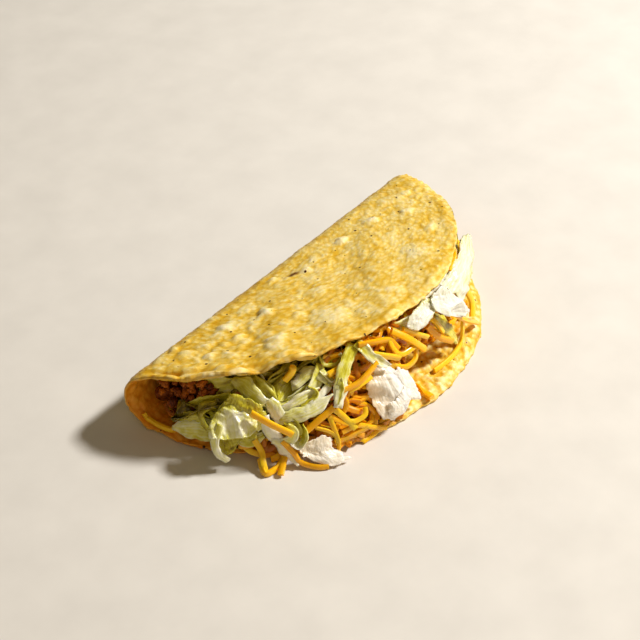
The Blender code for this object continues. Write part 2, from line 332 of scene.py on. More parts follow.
def add_piece(piece, name, slot, material, *replaced, crisp=None):
    """Name a finished piece, give it its material, and hide the parts of the model that it replaces.

    crisp is the angle in degrees above which an edge between two faces stays sharp.
    """
    piece.name = name
    piece.data.name = name
    piece.data.materials.clear()
    piece.data.materials.append(material)
    piece.data.shade_smooth()
    if crisp:
        bpy.ops.object.select_all(action="DESELECT")
        piece.select_set(True)
        bpy.context.view_layer.objects.active = piece
        bpy.ops.object.shade_smooth_by_angle(angle=math.radians(crisp))
    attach(piece, "root")
    if replaced:
        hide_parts(*replaced)
    triangles = sum(len(p.vertices) - 2 for p in piece.data.polygons)
    print(f"{name}: {triangles} triangles")
    return piece


# %% [markdown]
# The shell starts as a flat square grid. Its points are moved so that the square becomes a disc,
# and `fold` bends the disc. A polar grid would need a pole in its middle, where its triangles
# crowd together. The rim wavers a little, as dough does that was pressed and not cut, and the
# upper flap is slightly wavy. Solidify gives the sheet its two sides, thinner at the rim. Each
# point keeps its flat place, because blisters and finish are laid out on the flat tortilla.
# %% Shell
SHELL_COLUMNS, SHELL_ROWS = 236, 194        # along the fold and across it
RIM_WAVER = 0.45
RIM_TAPER, RIM_SHARE = 3.0, 0.32            # how far in the rim is thinner, and its share at the edge


def shape_shell():
    """Fold a grid into the shell; its mesh keeps each point's flat place."""
    bpy.ops.object.select_all(action="DESELECT")
    bpy.ops.mesh.primitive_grid_add(x_subdivisions=SHELL_COLUMNS, y_subdivisions=SHELL_ROWS, size=2)
    shell = bpy.context.object
    grid = read_points(shell.data) * MM
    u, v = grid[:, 0], grid[:, 1]
    angle = np.arctan2(v, u)
    edge = np.maximum(np.abs(u), np.abs(v))
    waver = np.sin(5 * angle + 1) + 0.6 * np.sin(11 * angle) + 0.5 * np.sin(29 * angle) \
        + 0.5 * lumps(9 + 26 * angle, 0 * angle, 1.0, 51)
    radius = TORTILLA_RADIUS + RIM_WAVER * edge ** 8 * waver
    along = radius * u * np.sqrt(1 - v ** 2 / 2)
    across = radius * v * np.sqrt(1 - u ** 2 / 2) - FOLD_OFFSET
    inset = radius - np.hypot(along, across + FOLD_OFFSET)
    points = fold(along, across)
    upper = smoothstep(HALF_ARC, HALF_ARC + 15, across)      # 0 on the fold and 1 out on the flap
    points[:, 2] += upper * (0.5 * np.sin(along / 7.5 + 1) * np.sin(across / 6.2)
                             + 0.25 * np.sin((along + across) / 3.7))
    curling = upper * smoothstep(7, 0, inset) * smoothstep(-16, -40, along)
    points[:, 2] += curling * (0.7 * np.sin(along / 2.3 + 1) + 0.4 * np.sin(along / 1.1))
    write_points(shell.data, points)
    paint(shell.data, "flat_place", np.stack([along, across, inset], axis=-1))
    taper = shell.vertex_groups.new(name="taper")
    thickness = RIM_SHARE + (1 - RIM_SHARE) * smoothstep(0.0, RIM_TAPER, inset)
    for index, weight in enumerate(thickness):
        taper.add([index], float(weight), "REPLACE")
    solid = shell.modifiers.new("Thickness", "SOLIDIFY")
    solid.thickness = SHELL_THICKNESS * MM
    solid.offset = 0.0
    solid.vertex_group = "taper"
    bpy.ops.object.modifier_apply(modifier="Thickness")
    shell.vertex_groups.clear()
    return shell


shell = shape_shell()
flat = np.empty(len(shell.data.vertices) * 3)
shell.data.attributes["flat_place"].data.foreach_get("vector", flat)
along, across, inset = flat.reshape(-1, 3).T
shell_points = read_points(shell.data)
shell_normals = read_normals(shell.data)
print("shell:", len(along), "vertices")

# %% [markdown]
# Blisters are raised on each side by itself: big ones at the left and on the inside, small ones
# at the right, nearly none along the fold, which the roller pressed smooth. The largest are
# listed, and the rest fall by chance. Moving the points of one dense mesh is chosen over
# a displacement in the material because the shape then also shows on the outline.
# %% Blisters
def inward(across):
    """Return the direction from the sheet's middle towards the filling."""
    heading = (np.clip(across, -HALF_ARC, HALF_ARC) + HALF_ARC) / FOLD_RADIUS
    return np.stack([0 * across, -np.sin(heading), np.cos(heading)], axis=-1)


# Each of these is one number for each point, from 0 to 1, and inner is true or false.
inner = np.einsum("ij,ij->i", shell_normals, inward(across)) > 0
is_upper = smoothstep(HALF_ARC - 4, HALF_ARC + 8, across)
is_lower = smoothstep(-HALF_ARC + 2, -HALF_ARC - 8, across)
is_fold = 1 - is_upper - is_lower
leftness = smoothstep(12, -40, along)
behind_rim = smoothstep(0.4, 3.0, inset)

LARGE_BLISTERS = [                       # place along, across, radius and height
    (-26, 26.5, 2.8, 1.1), (-38, 19.5, 3.0, 1.1), (-40, 27, 2.6, 0.9), (-36, 40, 3.6, 0.9),
    (34, 22.5, 3.6, 1.0), (20, 20.5, 2.8, 1.1), (37, 44, 2.8, 0.7), (23, 49, 6.5, 0.7),
    (-19, 46.5, 7.5, 0.7), (0, 21, 2.8, 1.0), (-9, 15.5, 2.0, 0.9), (30, 35, 2.4, 0.6),
    (44, 30.5, 2.6, 0.8), (-51, 26, 2.0, 0.9), (-52.5, 17, 1.8, 0.8), (-52.5, 12, 1.8, 0.8),
    (-22.5, 37.5, 2.6, 0.7), (-10, 48, 3.4, 0.5),
]
# Sizes and heights are in millimetres, and the whole number after a size is that noise's own seed.
warp_u = along + 0.9 * lumps(along, across, 3.1, 11)
warp_v = across + 0.9 * lumps(along, across, 3.1, 12)
big = blisters(warp_u, warp_v, 7.4, 21, 0.16, 0.48)
middling = blisters(warp_u, warp_v, 4.1, 22, 0.15, 0.5)
bubbles = blisters(warp_u, warp_v, 2.4, 24, 0.34, 0.68)
small = blisters(along, across, 2.3, 23, 0.2, 0.55)
swell = lumps(along, across, 11.0, 31)
coarse = lumps(along, across, 2.2, 33) + 0.6 * lumps(along, across, 1.2, 34)
patches = smoothstep(-0.5, 0.2, lumps(along, across, 15.0, 32))
blistered = (0.3 + 0.7 * np.maximum(leftness, 0.6 * patches)) * (1 - 0.35 * is_fold)
placed = np.zeros(len(along))
for place_along, place_across, radius, height in LARGE_BLISTERS:
    away = np.hypot(warp_u - place_along, warp_v - place_across) / radius
    placed = np.maximum(placed, height * np.clip(1 - away ** 2, 0, 1) ** 1.1)
outer_relief = (0.8 * big + 0.7 * middling * (1 - 0.5 * big)) * blistered + 0.2 * swell
outer_relief = np.maximum(outer_relief, placed) + 0.3 * small * (1 - big) + 0.07 * coarse * (1 - big)
inner_relief = (0.5 * big + 0.7 * middling) * (1 - is_lower) + 0.2 * swell + 0.1 * coarse
inner_relief += is_lower * (1.15 * bubbles + 0.25 * small + 0.4 * middling)
print("blisters up to", round(float(outer_relief.max()), 2), "mm high")

# %% [markdown]
# At the left the upper rim curled up in the hot fat, so it has a rolled lip with a groove behind
# it, and all round the rim is knobbly. Both are sums of soft bumps that depend on how far a point
# lies from the rim. The underside is pressed level where the taco rests on the table.
# %% Lip and rim
roll = 0.9 + 0.7 * lumps(along, 0 * along, 6.0, 41)
ridge_place = 0.5 + 0.3 * lumps(along, 0 * along, 7.0, 42)
lip = 1.2 * np.exp(-((inset - ridge_place) / 1.0) ** 2) \
    - 0.9 * np.exp(-((inset - ridge_place - 2.1) / 0.8) ** 2)
lip *= is_upper * smoothstep(-20, -42, along) * roll
lip += 0.35 * is_upper * np.exp(-((inset - 1.0) / 1.0) ** 2) \
    * (0.5 + 0.9 * lumps(along, 0 * along, 2.6, 43))
knobbly = 0.3 * (1 - behind_rim) * lumps(along + 0.7 * inset, across, 1.5, 45)

relief = knobbly + np.where(inner, inner_relief * behind_rim - 0.8 * lip, outer_relief * behind_rim + lip)
paint(shell.data, "flat_place", np.stack([along, across, inset + 2.0 * inner], axis=-1))
finished = shell_points + shell_normals * relief[:, None]
resting = (is_lower > 0.5) | (finished[:, 2] < 0.4)
pressed = np.maximum(finished[:, 2] - 0.45 * behind_rim, 0.02)
finished[:, 2] = np.where(resting & ~inner, pressed, finished[:, 2])
write_points(shell.data, finished + FRAME_SHIFT)
print("relief from", round(float(relief.min()), 2), "to", round(float(relief.max()), 2), "mm")

# %% [markdown]
# Frying colours what stands up less than what lies low, so the finish reads the height of the
# blisters; their darker hollows are partly that colour and partly painted shade. The fold band
# and the groove behind the lip are painted darker as shade, and a darker golden band along the
# upper rim at the left is partly frying colour and partly painted shade on its inside. It also
# reads where the dough was scorched and where it is amber: the inside of the fold, the low left
# of the lower flap and the rims, which is partly soaked-in grease and partly painted shade. Each
# of these is one number for each point of the mesh.
# %% What the frying left, and painted shade
# Painted shade: hollows, the fold band and the groove behind the lip come out darker.
outer_tone_and_shade = np.maximum((0.8 * big + 0.6 * middling) * blistered, placed) + 0.2 * small
groove_shade = np.exp(-((inset - ridge_place - 2.6) / 1.2) ** 2) * is_upper
outer_tone_and_shade -= 0.22 * leftness * (1 - outer_tone_and_shade) + 0.2 * is_fold + 0.2 * groove_shade
inner_tone_and_shade = (0.5 * big + 0.8 * middling) * (1 - is_lower) + is_lower * (1.7 * bubbles - 0.5)
# A darker golden band along the upper rim at the left, partly frying colour and partly painted shade.
golden_rim = (0.1 + 0.5 * inner) * np.exp(-(inset / 2.4) ** 2) * is_upper * leftness
paint(shell.data, "relief", np.clip(np.where(inner, inner_tone_and_shade, outer_tone_and_shade) - golden_rim, -0.9, 1))
from_scorch = along + 3.5
scorch = 1.6 * np.exp(-(from_scorch / 1.7) ** 2 - ((across - 19.3 - 0.4 * from_scorch) / 0.7) ** 2)
paint(shell.data, "scorched", np.clip(scorch, 0, 1) * ~inner)
# Amber tint, partly grease and partly painted shade: inside the fold, the low left of the lower flap, the
# rims.
grease_and_shade = 0.9 * inner * is_fold + 0.85 * is_lower * smoothstep(-15, -45, along)
grease_and_shade = np.maximum(grease_and_shade, 0.1 * np.exp(-(inset / 1.3) ** 2) * np.maximum(leftness, is_lower))
paint(shell.data, "grease_and_shade", np.clip(grease_and_shade, 0, 1))
# The share printed counts grease and painted shade together.
print("soaked with grease:", round(float(np.mean(grease_and_shade > 0.5)), 2), "of the shell")

# %% [markdown]
# Fried masa is matt and grainy with a thin film of oil. The skin of each blister is stretched, so
# it stays pale and smooth; between them golden pits are fried deeper, and their darker colour is
# partly painted shade. Dark specks are bits of scorched corn. The inside of the fold, the low left
# of the lower flap and the rims are tinted amber, partly from grease soaked up from the beef and
# partly as painted shade.
# A few noises at the sizes of the real grains are added up to a paleness, which a ramp colours.
# %% Fried corn tortilla
MOTTLE_SIZE, PIT_SIZE, CRUMB_SIZE = 7.0, 1.6, 1.9       # in millimetres, as the flat places are
SPECK_SPACING, SPECK_SIZE = 9.0, 0.055                  # the size is a share of the spacing
CORN_STOPS = [(0.1, "d8a218"), (0.26, "e4b736"), (0.4, "eecb62"), (0.55, "f6de90"), (0.8, "fbecbe")]
AMBER, CHAR, SPECK_COLOUR = "f8ba1c", "5e2606", "4a2408"
corn = start_material("fried corn tortilla")
corn_place = add_node(corn, "ShaderNodeAttribute", {"attribute_name": "flat_place"}).outputs["Vector"]
corn_tone_and_shade, corn_grease_and_shade, corn_scorch = (
    add_node(corn, "ShaderNodeAttribute", {"attribute_name": name}).outputs["Fac"]
    for name in ("relief", "grease_and_shade", "scorched"))
mottle = add_node(corn, "ShaderNodeTexNoise", Vector=corn_place,
                  Scale=1 / MOTTLE_SIZE, Detail=2.0, Roughness=0.5)
pits = add_node(corn, "ShaderNodeTexNoise", Vector=corn_place,
                Scale=1 / PIT_SIZE, Detail=4.0, Roughness=0.7)
stirred = add_node(corn, "ShaderNodeVectorMath", {"operation": "MULTIPLY_ADD"},
                   in0=pits.outputs["Color"], in1=(1.1, 1.1, 1.1), in2=corn_place)
crumbs = add_node(corn, "ShaderNodeTexVoronoi", {"feature": "SMOOTH_F1"}, Vector=stirred.outputs[0],
                  Scale=1 / CRUMB_SIZE, Smoothness=0.35)
paleness = 0.12                                         # each part is added to this by its weight
for part, weight in ((mottle.outputs["Fac"], 0.45), (pits.outputs["Fac"], 0.46),
                     (crumbs.outputs["Distance"], -0.36), (corn_tone_and_shade, 0.32)):
    paleness = add_node(corn, "ShaderNodeMath", {"operation": "MULTIPLY_ADD"},
                        in0=part, in1=weight, in2=paleness).outputs[0]
corn_tone = set_ramp(add_node(corn, "ShaderNodeValToRGB", Fac=paleness), CORN_STOPS)
# The amber tint multiplies in grease and painted shade.
amber_tint = add_node(corn, "ShaderNodeMix", {"data_type": "RGBA", "blend_type": "MULTIPLY"},
                  in0=corn_grease_and_shade, in6=corn_tone.outputs["Color"], in7=srgb(AMBER))
charred = add_node(corn, "ShaderNodeMix", {"data_type": "RGBA"},
                   in0=corn_scorch, in6=amber_tint.outputs[2], in7=srgb(CHAR))
speck = add_node(corn, "ShaderNodeTexVoronoi", {"voronoi_dimensions": "2D"},
                 Vector=corn_place, Scale=1 / SPECK_SPACING)
speck_chance = add_node(corn, "ShaderNodeSeparateXYZ", in0=speck.outputs["Color"])
speck_size = add_node(corn, "ShaderNodeMath", {"operation": "MULTIPLY"},
                      in0=speck_chance.outputs[0], in1=SPECK_SIZE)
speck_mask = add_node(corn, "ShaderNodeMath", {"operation": "LESS_THAN"},
                      in0=speck.outputs["Distance"], in1=speck_size.outputs[0])
specked = add_node(corn, "ShaderNodeMix", {"data_type": "RGBA"},
                   in0=speck_mask.outputs[0], in6=charred.outputs[2], in7=srgb(SPECK_COLOUR))
hollows = add_node(corn, "ShaderNodeMath", {"operation": "MULTIPLY_ADD"},
                   in0=crumbs.outputs["Distance"], in1=-1.1, in2=pits.outputs["Fac"])
corn_bump = add_node(corn, "ShaderNodeBump", Strength=0.4, Distance=0.0004, Height=hollows.outputs[0])
finish(corn, specked.outputs[2], corn_bump, Roughness=0.44, IOR=1.45, Specular_IOR_Level=0.35,
       Subsurface_Weight=0.15, Subsurface_Radius=(1.0, 0.65, 0.2), Subsurface_Scale=0.0012)
add_piece(shell, "tortilla_shell", "toasted_corn", corn, "corn_shell")

# %% [markdown]
# The filling shows in the mouth, the strip between the two rims. So it is handy to name a place
# there by three numbers: how far it lies round the rim from the middle, in millimetres; its
# height, from 0 at the lower rim to 1 at the upper; and how far it stands out. `mouth` turns
# these into a point. Whatever lies deeper in the taco has a negative third number. Plain X, Y and
# Z would work too, but then a shred that hangs over the rim could not be told from its numbers.
# %% Places in the mouth
def mouth(round_rim, height, out):
    """Return points of the filling from their places in the mouth."""
    angle = np.clip(round_rim / TORTILLA_RADIUS, -1.55, 1.55)
    x = TORTILLA_RADIUS * np.sin(angle)
    low, high = rim(x, -1), rim(x, 1)
    points = low + (high - low) * height[..., None]
    points[..., 0] += np.sin(angle) * out
    points[..., 1] -= np.cos(angle) * out
    return points


def facing(round_rim):
    """Return the direction in which the mouth's surface faces."""
    angle = np.clip(round_rim / TORTILLA_RADIUS, -1.55, 1.55)
    return np.stack([np.sin(angle), -np.cos(angle), 0.35 + 0 * angle], axis=-1) / math.hypot(1, 0.35)


def smooth_line(points, count):
    """Draw a smooth line of count points through a few points."""
    points = np.asarray(points, float)
    if len(points) == 2:
        share = np.linspace(0, 1, count)[:, None]
        return points[0] * (1 - share) + points[1] * share
    padded = np.vstack([2 * points[0] - points[1], points, 2 * points[-1] - points[-2]])
    place = np.linspace(0, len(points) - 1, count)
    start = np.minimum(place.astype(int), len(points) - 2)
    t = (place - start)[:, None]
    a, b, c, d = (padded[start + k] for k in range(4))
    return 0.5 * (2 * b + (c - a) * t + (2 * a - 5 * b + 4 * c - d) * t ** 2
                  + (3 * b - a - 3 * c + d) * t ** 3)


print("middle of the mouth:", mouth(np.array([0.0]), np.array([0.5]), np.array([0.0])).round(1))

# %% [markdown]
# Grated cheese and cut lettuce repeat the same two shapes: a square bar and a thin strip. Each is
# modelled once, lying along X with length 1, width 1 and thickness 1. A copy is then bent along a
# line by putting each of its points into a little frame that travels down the line. Long copies
# that lie on top have more cuts, since their bends are seen from near by.
# %% One bar and one strip
CORNER_FLAT = 0.62               # how much of each side a cut corner leaves


def model_bar(cuts):
    """Model a square bar with cut corners, divided along its length."""
    bpy.ops.object.select_all(action="DESELECT")
    bpy.ops.mesh.primitive_cylinder_add(vertices=8, radius=0.5, depth=1, rotation=(0, math.pi / 2, 0))
    bar = bpy.context.object
    bpy.ops.object.transform_apply(rotation=True)
    corners = read_points(bar.data) * MM
    turned = (corners[:, 1] + 1j * corners[:, 2]) * np.exp(1j * math.pi / 8)
    for part, axis in ((turned.real, 1), (turned.imag, 2)):
        corners[:, axis] = np.sign(part) * 0.5 * np.where(np.abs(part) > 0.3, 1.0, CORNER_FLAT)
    write_points(bar.data, corners / MM)
    bpy.ops.object.mode_set(mode="EDIT")
    bpy.ops.mesh.select_mode(type="EDGE")
    bpy.ops.mesh.select_all(action="DESELECT")
    bpy.ops.object.mode_set(mode="OBJECT")
    ends = np.array([v.co.x for v in bar.data.vertices])
    for edge in bar.data.edges:
        edge.select = bool(abs(ends[edge.vertices[0]] - ends[edge.vertices[1]]) > 0.5)
    bpy.ops.object.mode_set(mode="EDIT")
    bpy.ops.mesh.subdivide(number_cuts=cuts)
    bpy.ops.object.mode_set(mode="OBJECT")
    return take_shape(bar)


def model_strip(columns, rows):
    """Model a thin closed strip; columns go along it and rows across."""
    bpy.ops.object.select_all(action="DESELECT")
    bpy.ops.mesh.primitive_grid_add(x_subdivisions=columns, y_subdivisions=rows, size=1)
    strip = bpy.context.object
    solid = strip.modifiers.new("Thickness", "SOLIDIFY")
    solid.thickness = 1.0
    solid.offset = 0.0
    bpy.ops.object.modifier_apply(modifier="Thickness")
    return take_shape(strip)


def take_shape(piece):
    """Return the points and faces of a modelled shape, and remove its object."""
    points = read_points(piece.data) * MM
    faces = [tuple(p.vertices) for p in piece.data.polygons]
    bpy.data.objects.remove(piece)
    return points, faces


BAR, LONG_BAR = model_bar(7), model_bar(19)
STRIP, LONG_STRIP = model_strip(10, 2), model_strip(26, 6)
print("faces: bar", len(BAR[1]), "strip", len(STRIP[1]), "long strip", len(LONG_STRIP[1]))

# %% [markdown]
# Hundreds of loose pieces would be hundreds of objects, and slow to handle. So all the shreds of
# one food go on one pile, which becomes one mesh. Each keeps its own grain place and tone, so they
# don't look alike. Real food can't go through the table or the shell, so `keep_in_room` holds
# every point of it between them.
# %% Piles of food
class Pile:
    """Gathers bent copies of one shape, to be made one mesh."""

    def __init__(self):
        self.points, self.faces, self.grain, self.tone, self.total = [], [], [], [], 0

    def add(self, points, faces, grain, tone):
        """Put one copy on the pile, with its faces counted on from those before it."""
        self.faces.extend([tuple(index + self.total for index in face) for face in faces])
        self.points.append(points)
        self.grain.append(grain)
        self.tone.append(tone)
        self.total += len(points)

    def make(self, name):
        """Make the mesh, in the model's frame, with what its material reads."""
        mesh = bpy.data.meshes.new(name)
        mesh.from_pydata((np.vstack(self.points) + FRAME_SHIFT) * MM, [], self.faces)
        paint(mesh, "grain", np.vstack(self.grain))
        paint(mesh, "tone", np.concatenate(self.tone))
        piece = bpy.data.objects.new(name, mesh)
        bpy.context.scene.collection.objects.link(piece)
        return piece


FLAP_SAG = 0.93                  # the upper flap rises a little less than its slope at the fold
NO_ROOF = 99.0


def keep_in_room(points, room=0.25):
    """Keep points of the filling off the floor and clear of both flaps."""
    x, y = points[..., 0], points[..., 1]
    chord = np.sqrt(np.maximum(TORTILLA_RADIUS ** 2 - x ** 2, 0.0))
    over_lower = smoothstep(1.0, -1.0, -y - (chord + FOLD_OFFSET - HALF_ARC))
    least = room + (SHELL_THICKNESS + 0.15) * over_lower
    roof_y = math.sin(FLAP_START) * FOLD_RADIUS
    roof = FOLD_HEIGHT - FOLD_RADIUS * math.cos(FLAP_START) \
        + (roof_y - y) * math.tan(OPENING_ANGLE) * FLAP_SAG
    under_upper = (roof_y - y) / math.cos(OPENING_ANGLE) < chord - FOLD_OFFSET - HALF_ARC + 1.5
    most = np.where(under_upper, roof - SHELL_THICKNESS / 2 - 0.35 - room, NO_ROOF)
    points[..., 2] = np.clip(points[..., 2], least, np.maximum(most, least))
    return points


print("room below the upper flap:", keep_in_room(np.array([[0.0, 0.0, NO_ROOF]]))[0, 2].round(1), "mm")

# %% [markdown]
# A line alone says where a shred lies. How it bends comes from the little frame that travels down
# the line: one way along it, one out of the heap and one to the side. A curve with a bevel would
# do for cheese, but lettuce also rolls, cups, ruffles at its edges and narrows, so each point of
# the copy is placed in that frame by its own length, width and height.
# %% Bend copies along lines
def crumple(u, v, size, seed):
    """Return the folds of a crumpled leaf, sharp along their crests, in millimetres."""
    warp = 0.35 * size * lumps(u, v, size, seed + 3)
    folds = 0.5 - np.abs(lumps(u + warp, v - warp, size, seed))
    return folds + 0.2 * (0.5 - np.abs(lumps(u - warp, v, size * 0.42, seed + 1))) \
        + 0.04 * lumps(u, v, size * 0.17, seed + 2)


def bend_along(shape, line, width, thickness, roll=0.0, cup=0.0, ruffle=0.0, ends=(1.0, 1.0),
               folded=0.0, seed=0):
    """Bend a copy of a shape along a line of points; return its points and its grain places.

    roll turns it about the line, cup hollows it, ruffle waves its edges, folded crumples it, and
    ends gives its width at each end as a share of the middle.
    """
    points, _ = shape
    u, v, w = points[:, 0] + 0.5, points[:, 1], points[:, 2]
    steps = np.linalg.norm(np.diff(line, axis=0), axis=1)
    reach = np.concatenate([[0], np.cumsum(steps)])
    length = reach[-1]
    place = u * length
    # The little frame: along the line, out of the heap, and to the side.
    tangent = np.gradient(line, axis=0)
    tangent /= np.maximum(np.linalg.norm(tangent, axis=1, keepdims=True), 1e-9)
    rim_place = np.arctan2(line[:, 0], np.maximum(-line[:, 1] - 3.0, 1.0)) * TORTILLA_RADIUS
    out = facing(rim_place)
    out = out - tangent * np.einsum("ij,ij->i", out, tangent)[:, None]
    out /= np.maximum(np.linalg.norm(out, axis=1, keepdims=True), 1e-9)
    side = np.cross(tangent, out)
    centre, out, side = (np.stack([np.interp(place, reach, part[:, k]) for k in range(3)], axis=-1)
                         for part in (line, out, side))
    turn = np.asarray(roll) if np.ndim(roll) == 0 else np.interp(u, np.linspace(0, 1, len(roll)), roll)
    out, side = out * np.cos(turn)[..., None] + side * np.sin(turn)[..., None], \
        side * np.cos(turn)[..., None] - out * np.sin(turn)[..., None]
    # The outline of the strip, and how far its parts lift out of its plane.
    rng = np.random.default_rng(seed)
    phase = rng.uniform(0, 6.28, 4)
    profile = ends[0] + (1 - ends[0]) * smoothstep(0, 0.35, u)
    profile = profile * (ends[1] + (1 - ends[1]) * smoothstep(1, 0.65, u))
    side_of = np.sign(v) * 31.0              # each edge is torn by its own part of the noise
    ragged = 0.16 * lumps(place + 99, side_of + 64, 3.0, seed) \
        + 0.1 * lumps(place + 99, side_of + 64, 1.1, seed)
    across = v * width * profile * (1 + ragged * (ruffle > 0))
    waves = np.sin(place * 1.1 + phase[2]) + 0.6 * np.sin(place * 2.3 + phase[3] + v * 3)
    lift = cup * (2 * v) ** 2 * width / 4 + ruffle * waves * (0.25 + np.abs(2 * v) ** 1.5)
    if folded:
        lift = lift + folded * crumple(place, 1.6 * v * width, 4.2, seed)
    made = centre + side * across[:, None] + out * (w * thickness + lift)[:, None]
    grain = np.stack([place + 31.0 * (seed % 97), v * width, w * thickness + 7.0 * (seed % 13)], axis=-1)
    return made, grain


tried, _ = bend_along(BAR, np.array([[0, -60, 9], [6, -60, 11], [12, -58, 9.0]]), 1.8, 1.2)
print("a bent shred measures", np.ptp(tried, axis=0).round(1), "mm")

# %% [markdown]
# A heap looks right when each piece rests on the ones under it. So the heap's surface is kept as
# a table over the mouth: for each place it says how far the filling stands out so far. A new
# piece is laid on the highest places under it, a little stiffly, and then raises the table. Pieces
# are laid until the heap has the bulge of the real one: past the lower rim at the left, and far
# back on the bare flap right of the middle.
# %% The heap's surface
CELL = 0.5                       # each place in the table is this wide
RIM_REACH, LOWEST, HIGHEST = 112.0, -4.0, 36.0      # what the table covers, in millimetres
MOUTH_HEIGHT = 31.0
grid_rim = np.arange(-RIM_REACH, RIM_REACH, CELL)
grid_tall = np.arange(LOWEST, HIGHEST, CELL)
table_rim, table_tall = np.meshgrid(grid_rim, grid_tall, indexing="ij")


BARE_DEPTH, HEAP_DEPTH = 21, 5.5     # of the bare part of the lower flap, and of the loose pieces


def set_back(round_rim, height):
    """Return how far the filling is set back on the bare part of the lower flap."""
    angle = round_rim / TORTILLA_RADIUS
    x = TORTILLA_RADIUS * np.sin(angle)
    bare = BARE_DEPTH * smoothstep(-16, 2, x) * np.exp(-np.maximum(x - 3, 0) / 32)
    return bare * (1 - np.clip(height, 0, 1)) * np.maximum(np.cos(angle), 0.25)


def bulge(round_rim, height):
    """Return how far the finished heap stands out."""
    low_left = smoothstep(-86, -66, round_rim) * smoothstep(-22, -36, round_rim) \
        * smoothstep(0.75, 0.3, height)
    top = smoothstep(0.55, 0.95, height) * (1 + 2.6 * smoothstep(-22, -45, round_rim))
    ends = smoothstep(74, 96, np.abs(round_rim))
    return 0.4 + 1.9 * low_left - 1.6 * top - 5.0 * ends - set_back(round_rim, height)


heap_goal = bulge(table_rim, table_tall / MOUTH_HEIGHT)
heap_out = heap_goal - HEAP_DEPTH


def look_up(table, round_rim, tall):
    """Read a table of the heap at places."""
    i = np.clip(((round_rim + RIM_REACH) / CELL).astype(int), 0, table.shape[0] - 1)
    j = np.clip(((tall - LOWEST) / CELL).astype(int), 0, table.shape[1] - 1)
    return i, j, table[i, j]


STIFFNESS = [0.06, 0.12, 0.2, 0.24, 0.2, 0.12, 0.06]     # how a shred spreads what holds it up


def lay(round_rim, tall, width, thickness, slack=0.3):
    """Rest a line on the heap and raise the heap; return how far out it lies.

    slack is how far it may sink into what is under it, as a share of its thickness. Where the
    heap would stand out too far, nothing is laid and None is returned.
    """
    heading = np.arctan2(np.gradient(tall), np.gradient(round_rim))
    offsets = np.linspace(-0.5, 0.5, max(3, int(width / CELL) + 1))[:, None] * max(width - 0.4, 0.2)
    foot_rim, foot_tall = round_rim - offsets * np.sin(heading), tall + offsets * np.cos(heading)
    i, j, under = look_up(heap_out, foot_rim, foot_tall)
    support = under.max(axis=0)
    padded = np.pad(support, 3, mode="edge")
    eased = np.convolve(padded, STIFFNESS, mode="valid")
    out = np.maximum(eased, support - slack * thickness)
    goal = look_up(heap_goal, round_rim, tall)[2]
    if np.any(out + thickness > goal + 0.8) or np.mean(out + thickness > goal + 0.3) > 0.4:
        return None
    np.maximum.at(heap_out, (i, j), np.broadcast_to(out + thickness, i.shape))
    return out + thickness / 2


print("heap table:", heap_out.shape, "cells of", CELL, "mm")

# %% [markdown]
# Which filling lies where follows how the taco was filled: beef first, deep in the fold, so it
# shows only at the ends; then cheese on the lower flap; then lettuce on top. Because the taco
# then fell on its side, cheese shows along the bottom and right of the middle.
# %% Loose shreds
CHEESE_LENGTH, CHEESE_WIDTH = (9.0, 24.0), (1.4, 2.0)        # shortest and longest, in millimetres
LETTUCE_LENGTH, LETTUCE_WIDTH = (10.0, 26.0), (1.3, 4.2)
ATTEMPTS = 5200                  # most find the heap full


def cheese_share(round_rim, height):
    """Return the chance that a shred at a place is cheese."""
    bottom = smoothstep(0.34, 0.12, height) * smoothstep(-74, -66, round_rim)
    middle = smoothstep(-43, -34, round_rim) * smoothstep(0.85, 0.6, height + 0.01 * (round_rim + 34))
    centre = smoothstep(-30, -24, round_rim) * smoothstep(6, -4, round_rim)
    right = smoothstep(-2, 8, round_rim) * smoothstep(0.72, 0.5, height)
    share = np.maximum.reduce([bottom, middle * (round_rim < -24), centre, right])
    return np.clip(share, 0.03, 0.97)


def shred_line(rng, length, wander):
    """Choose a bent line in the mouth: places round the rim and heights in millimetres."""
    middle_rim = rng.uniform(-96, 98)
    middle_tall = rng.uniform(-0.5, 31)
    heading = rng.normal(0, 0.75)
    count = 18
    share = np.linspace(-0.5, 0.5, count)
    turn = heading + wander * rng.normal(0, 1.0) * share * 2 \
        + 0.35 * np.sin(share * 7 + rng.uniform(0, 6))
    step = length / (count - 1)
    round_rim = middle_rim + np.cumsum(np.cos(turn)) * step - length / 2 * math.cos(heading)
    tall = middle_tall + np.cumsum(np.sin(turn)) * step - length / 2 * math.sin(heading)
    return round_rim, tall


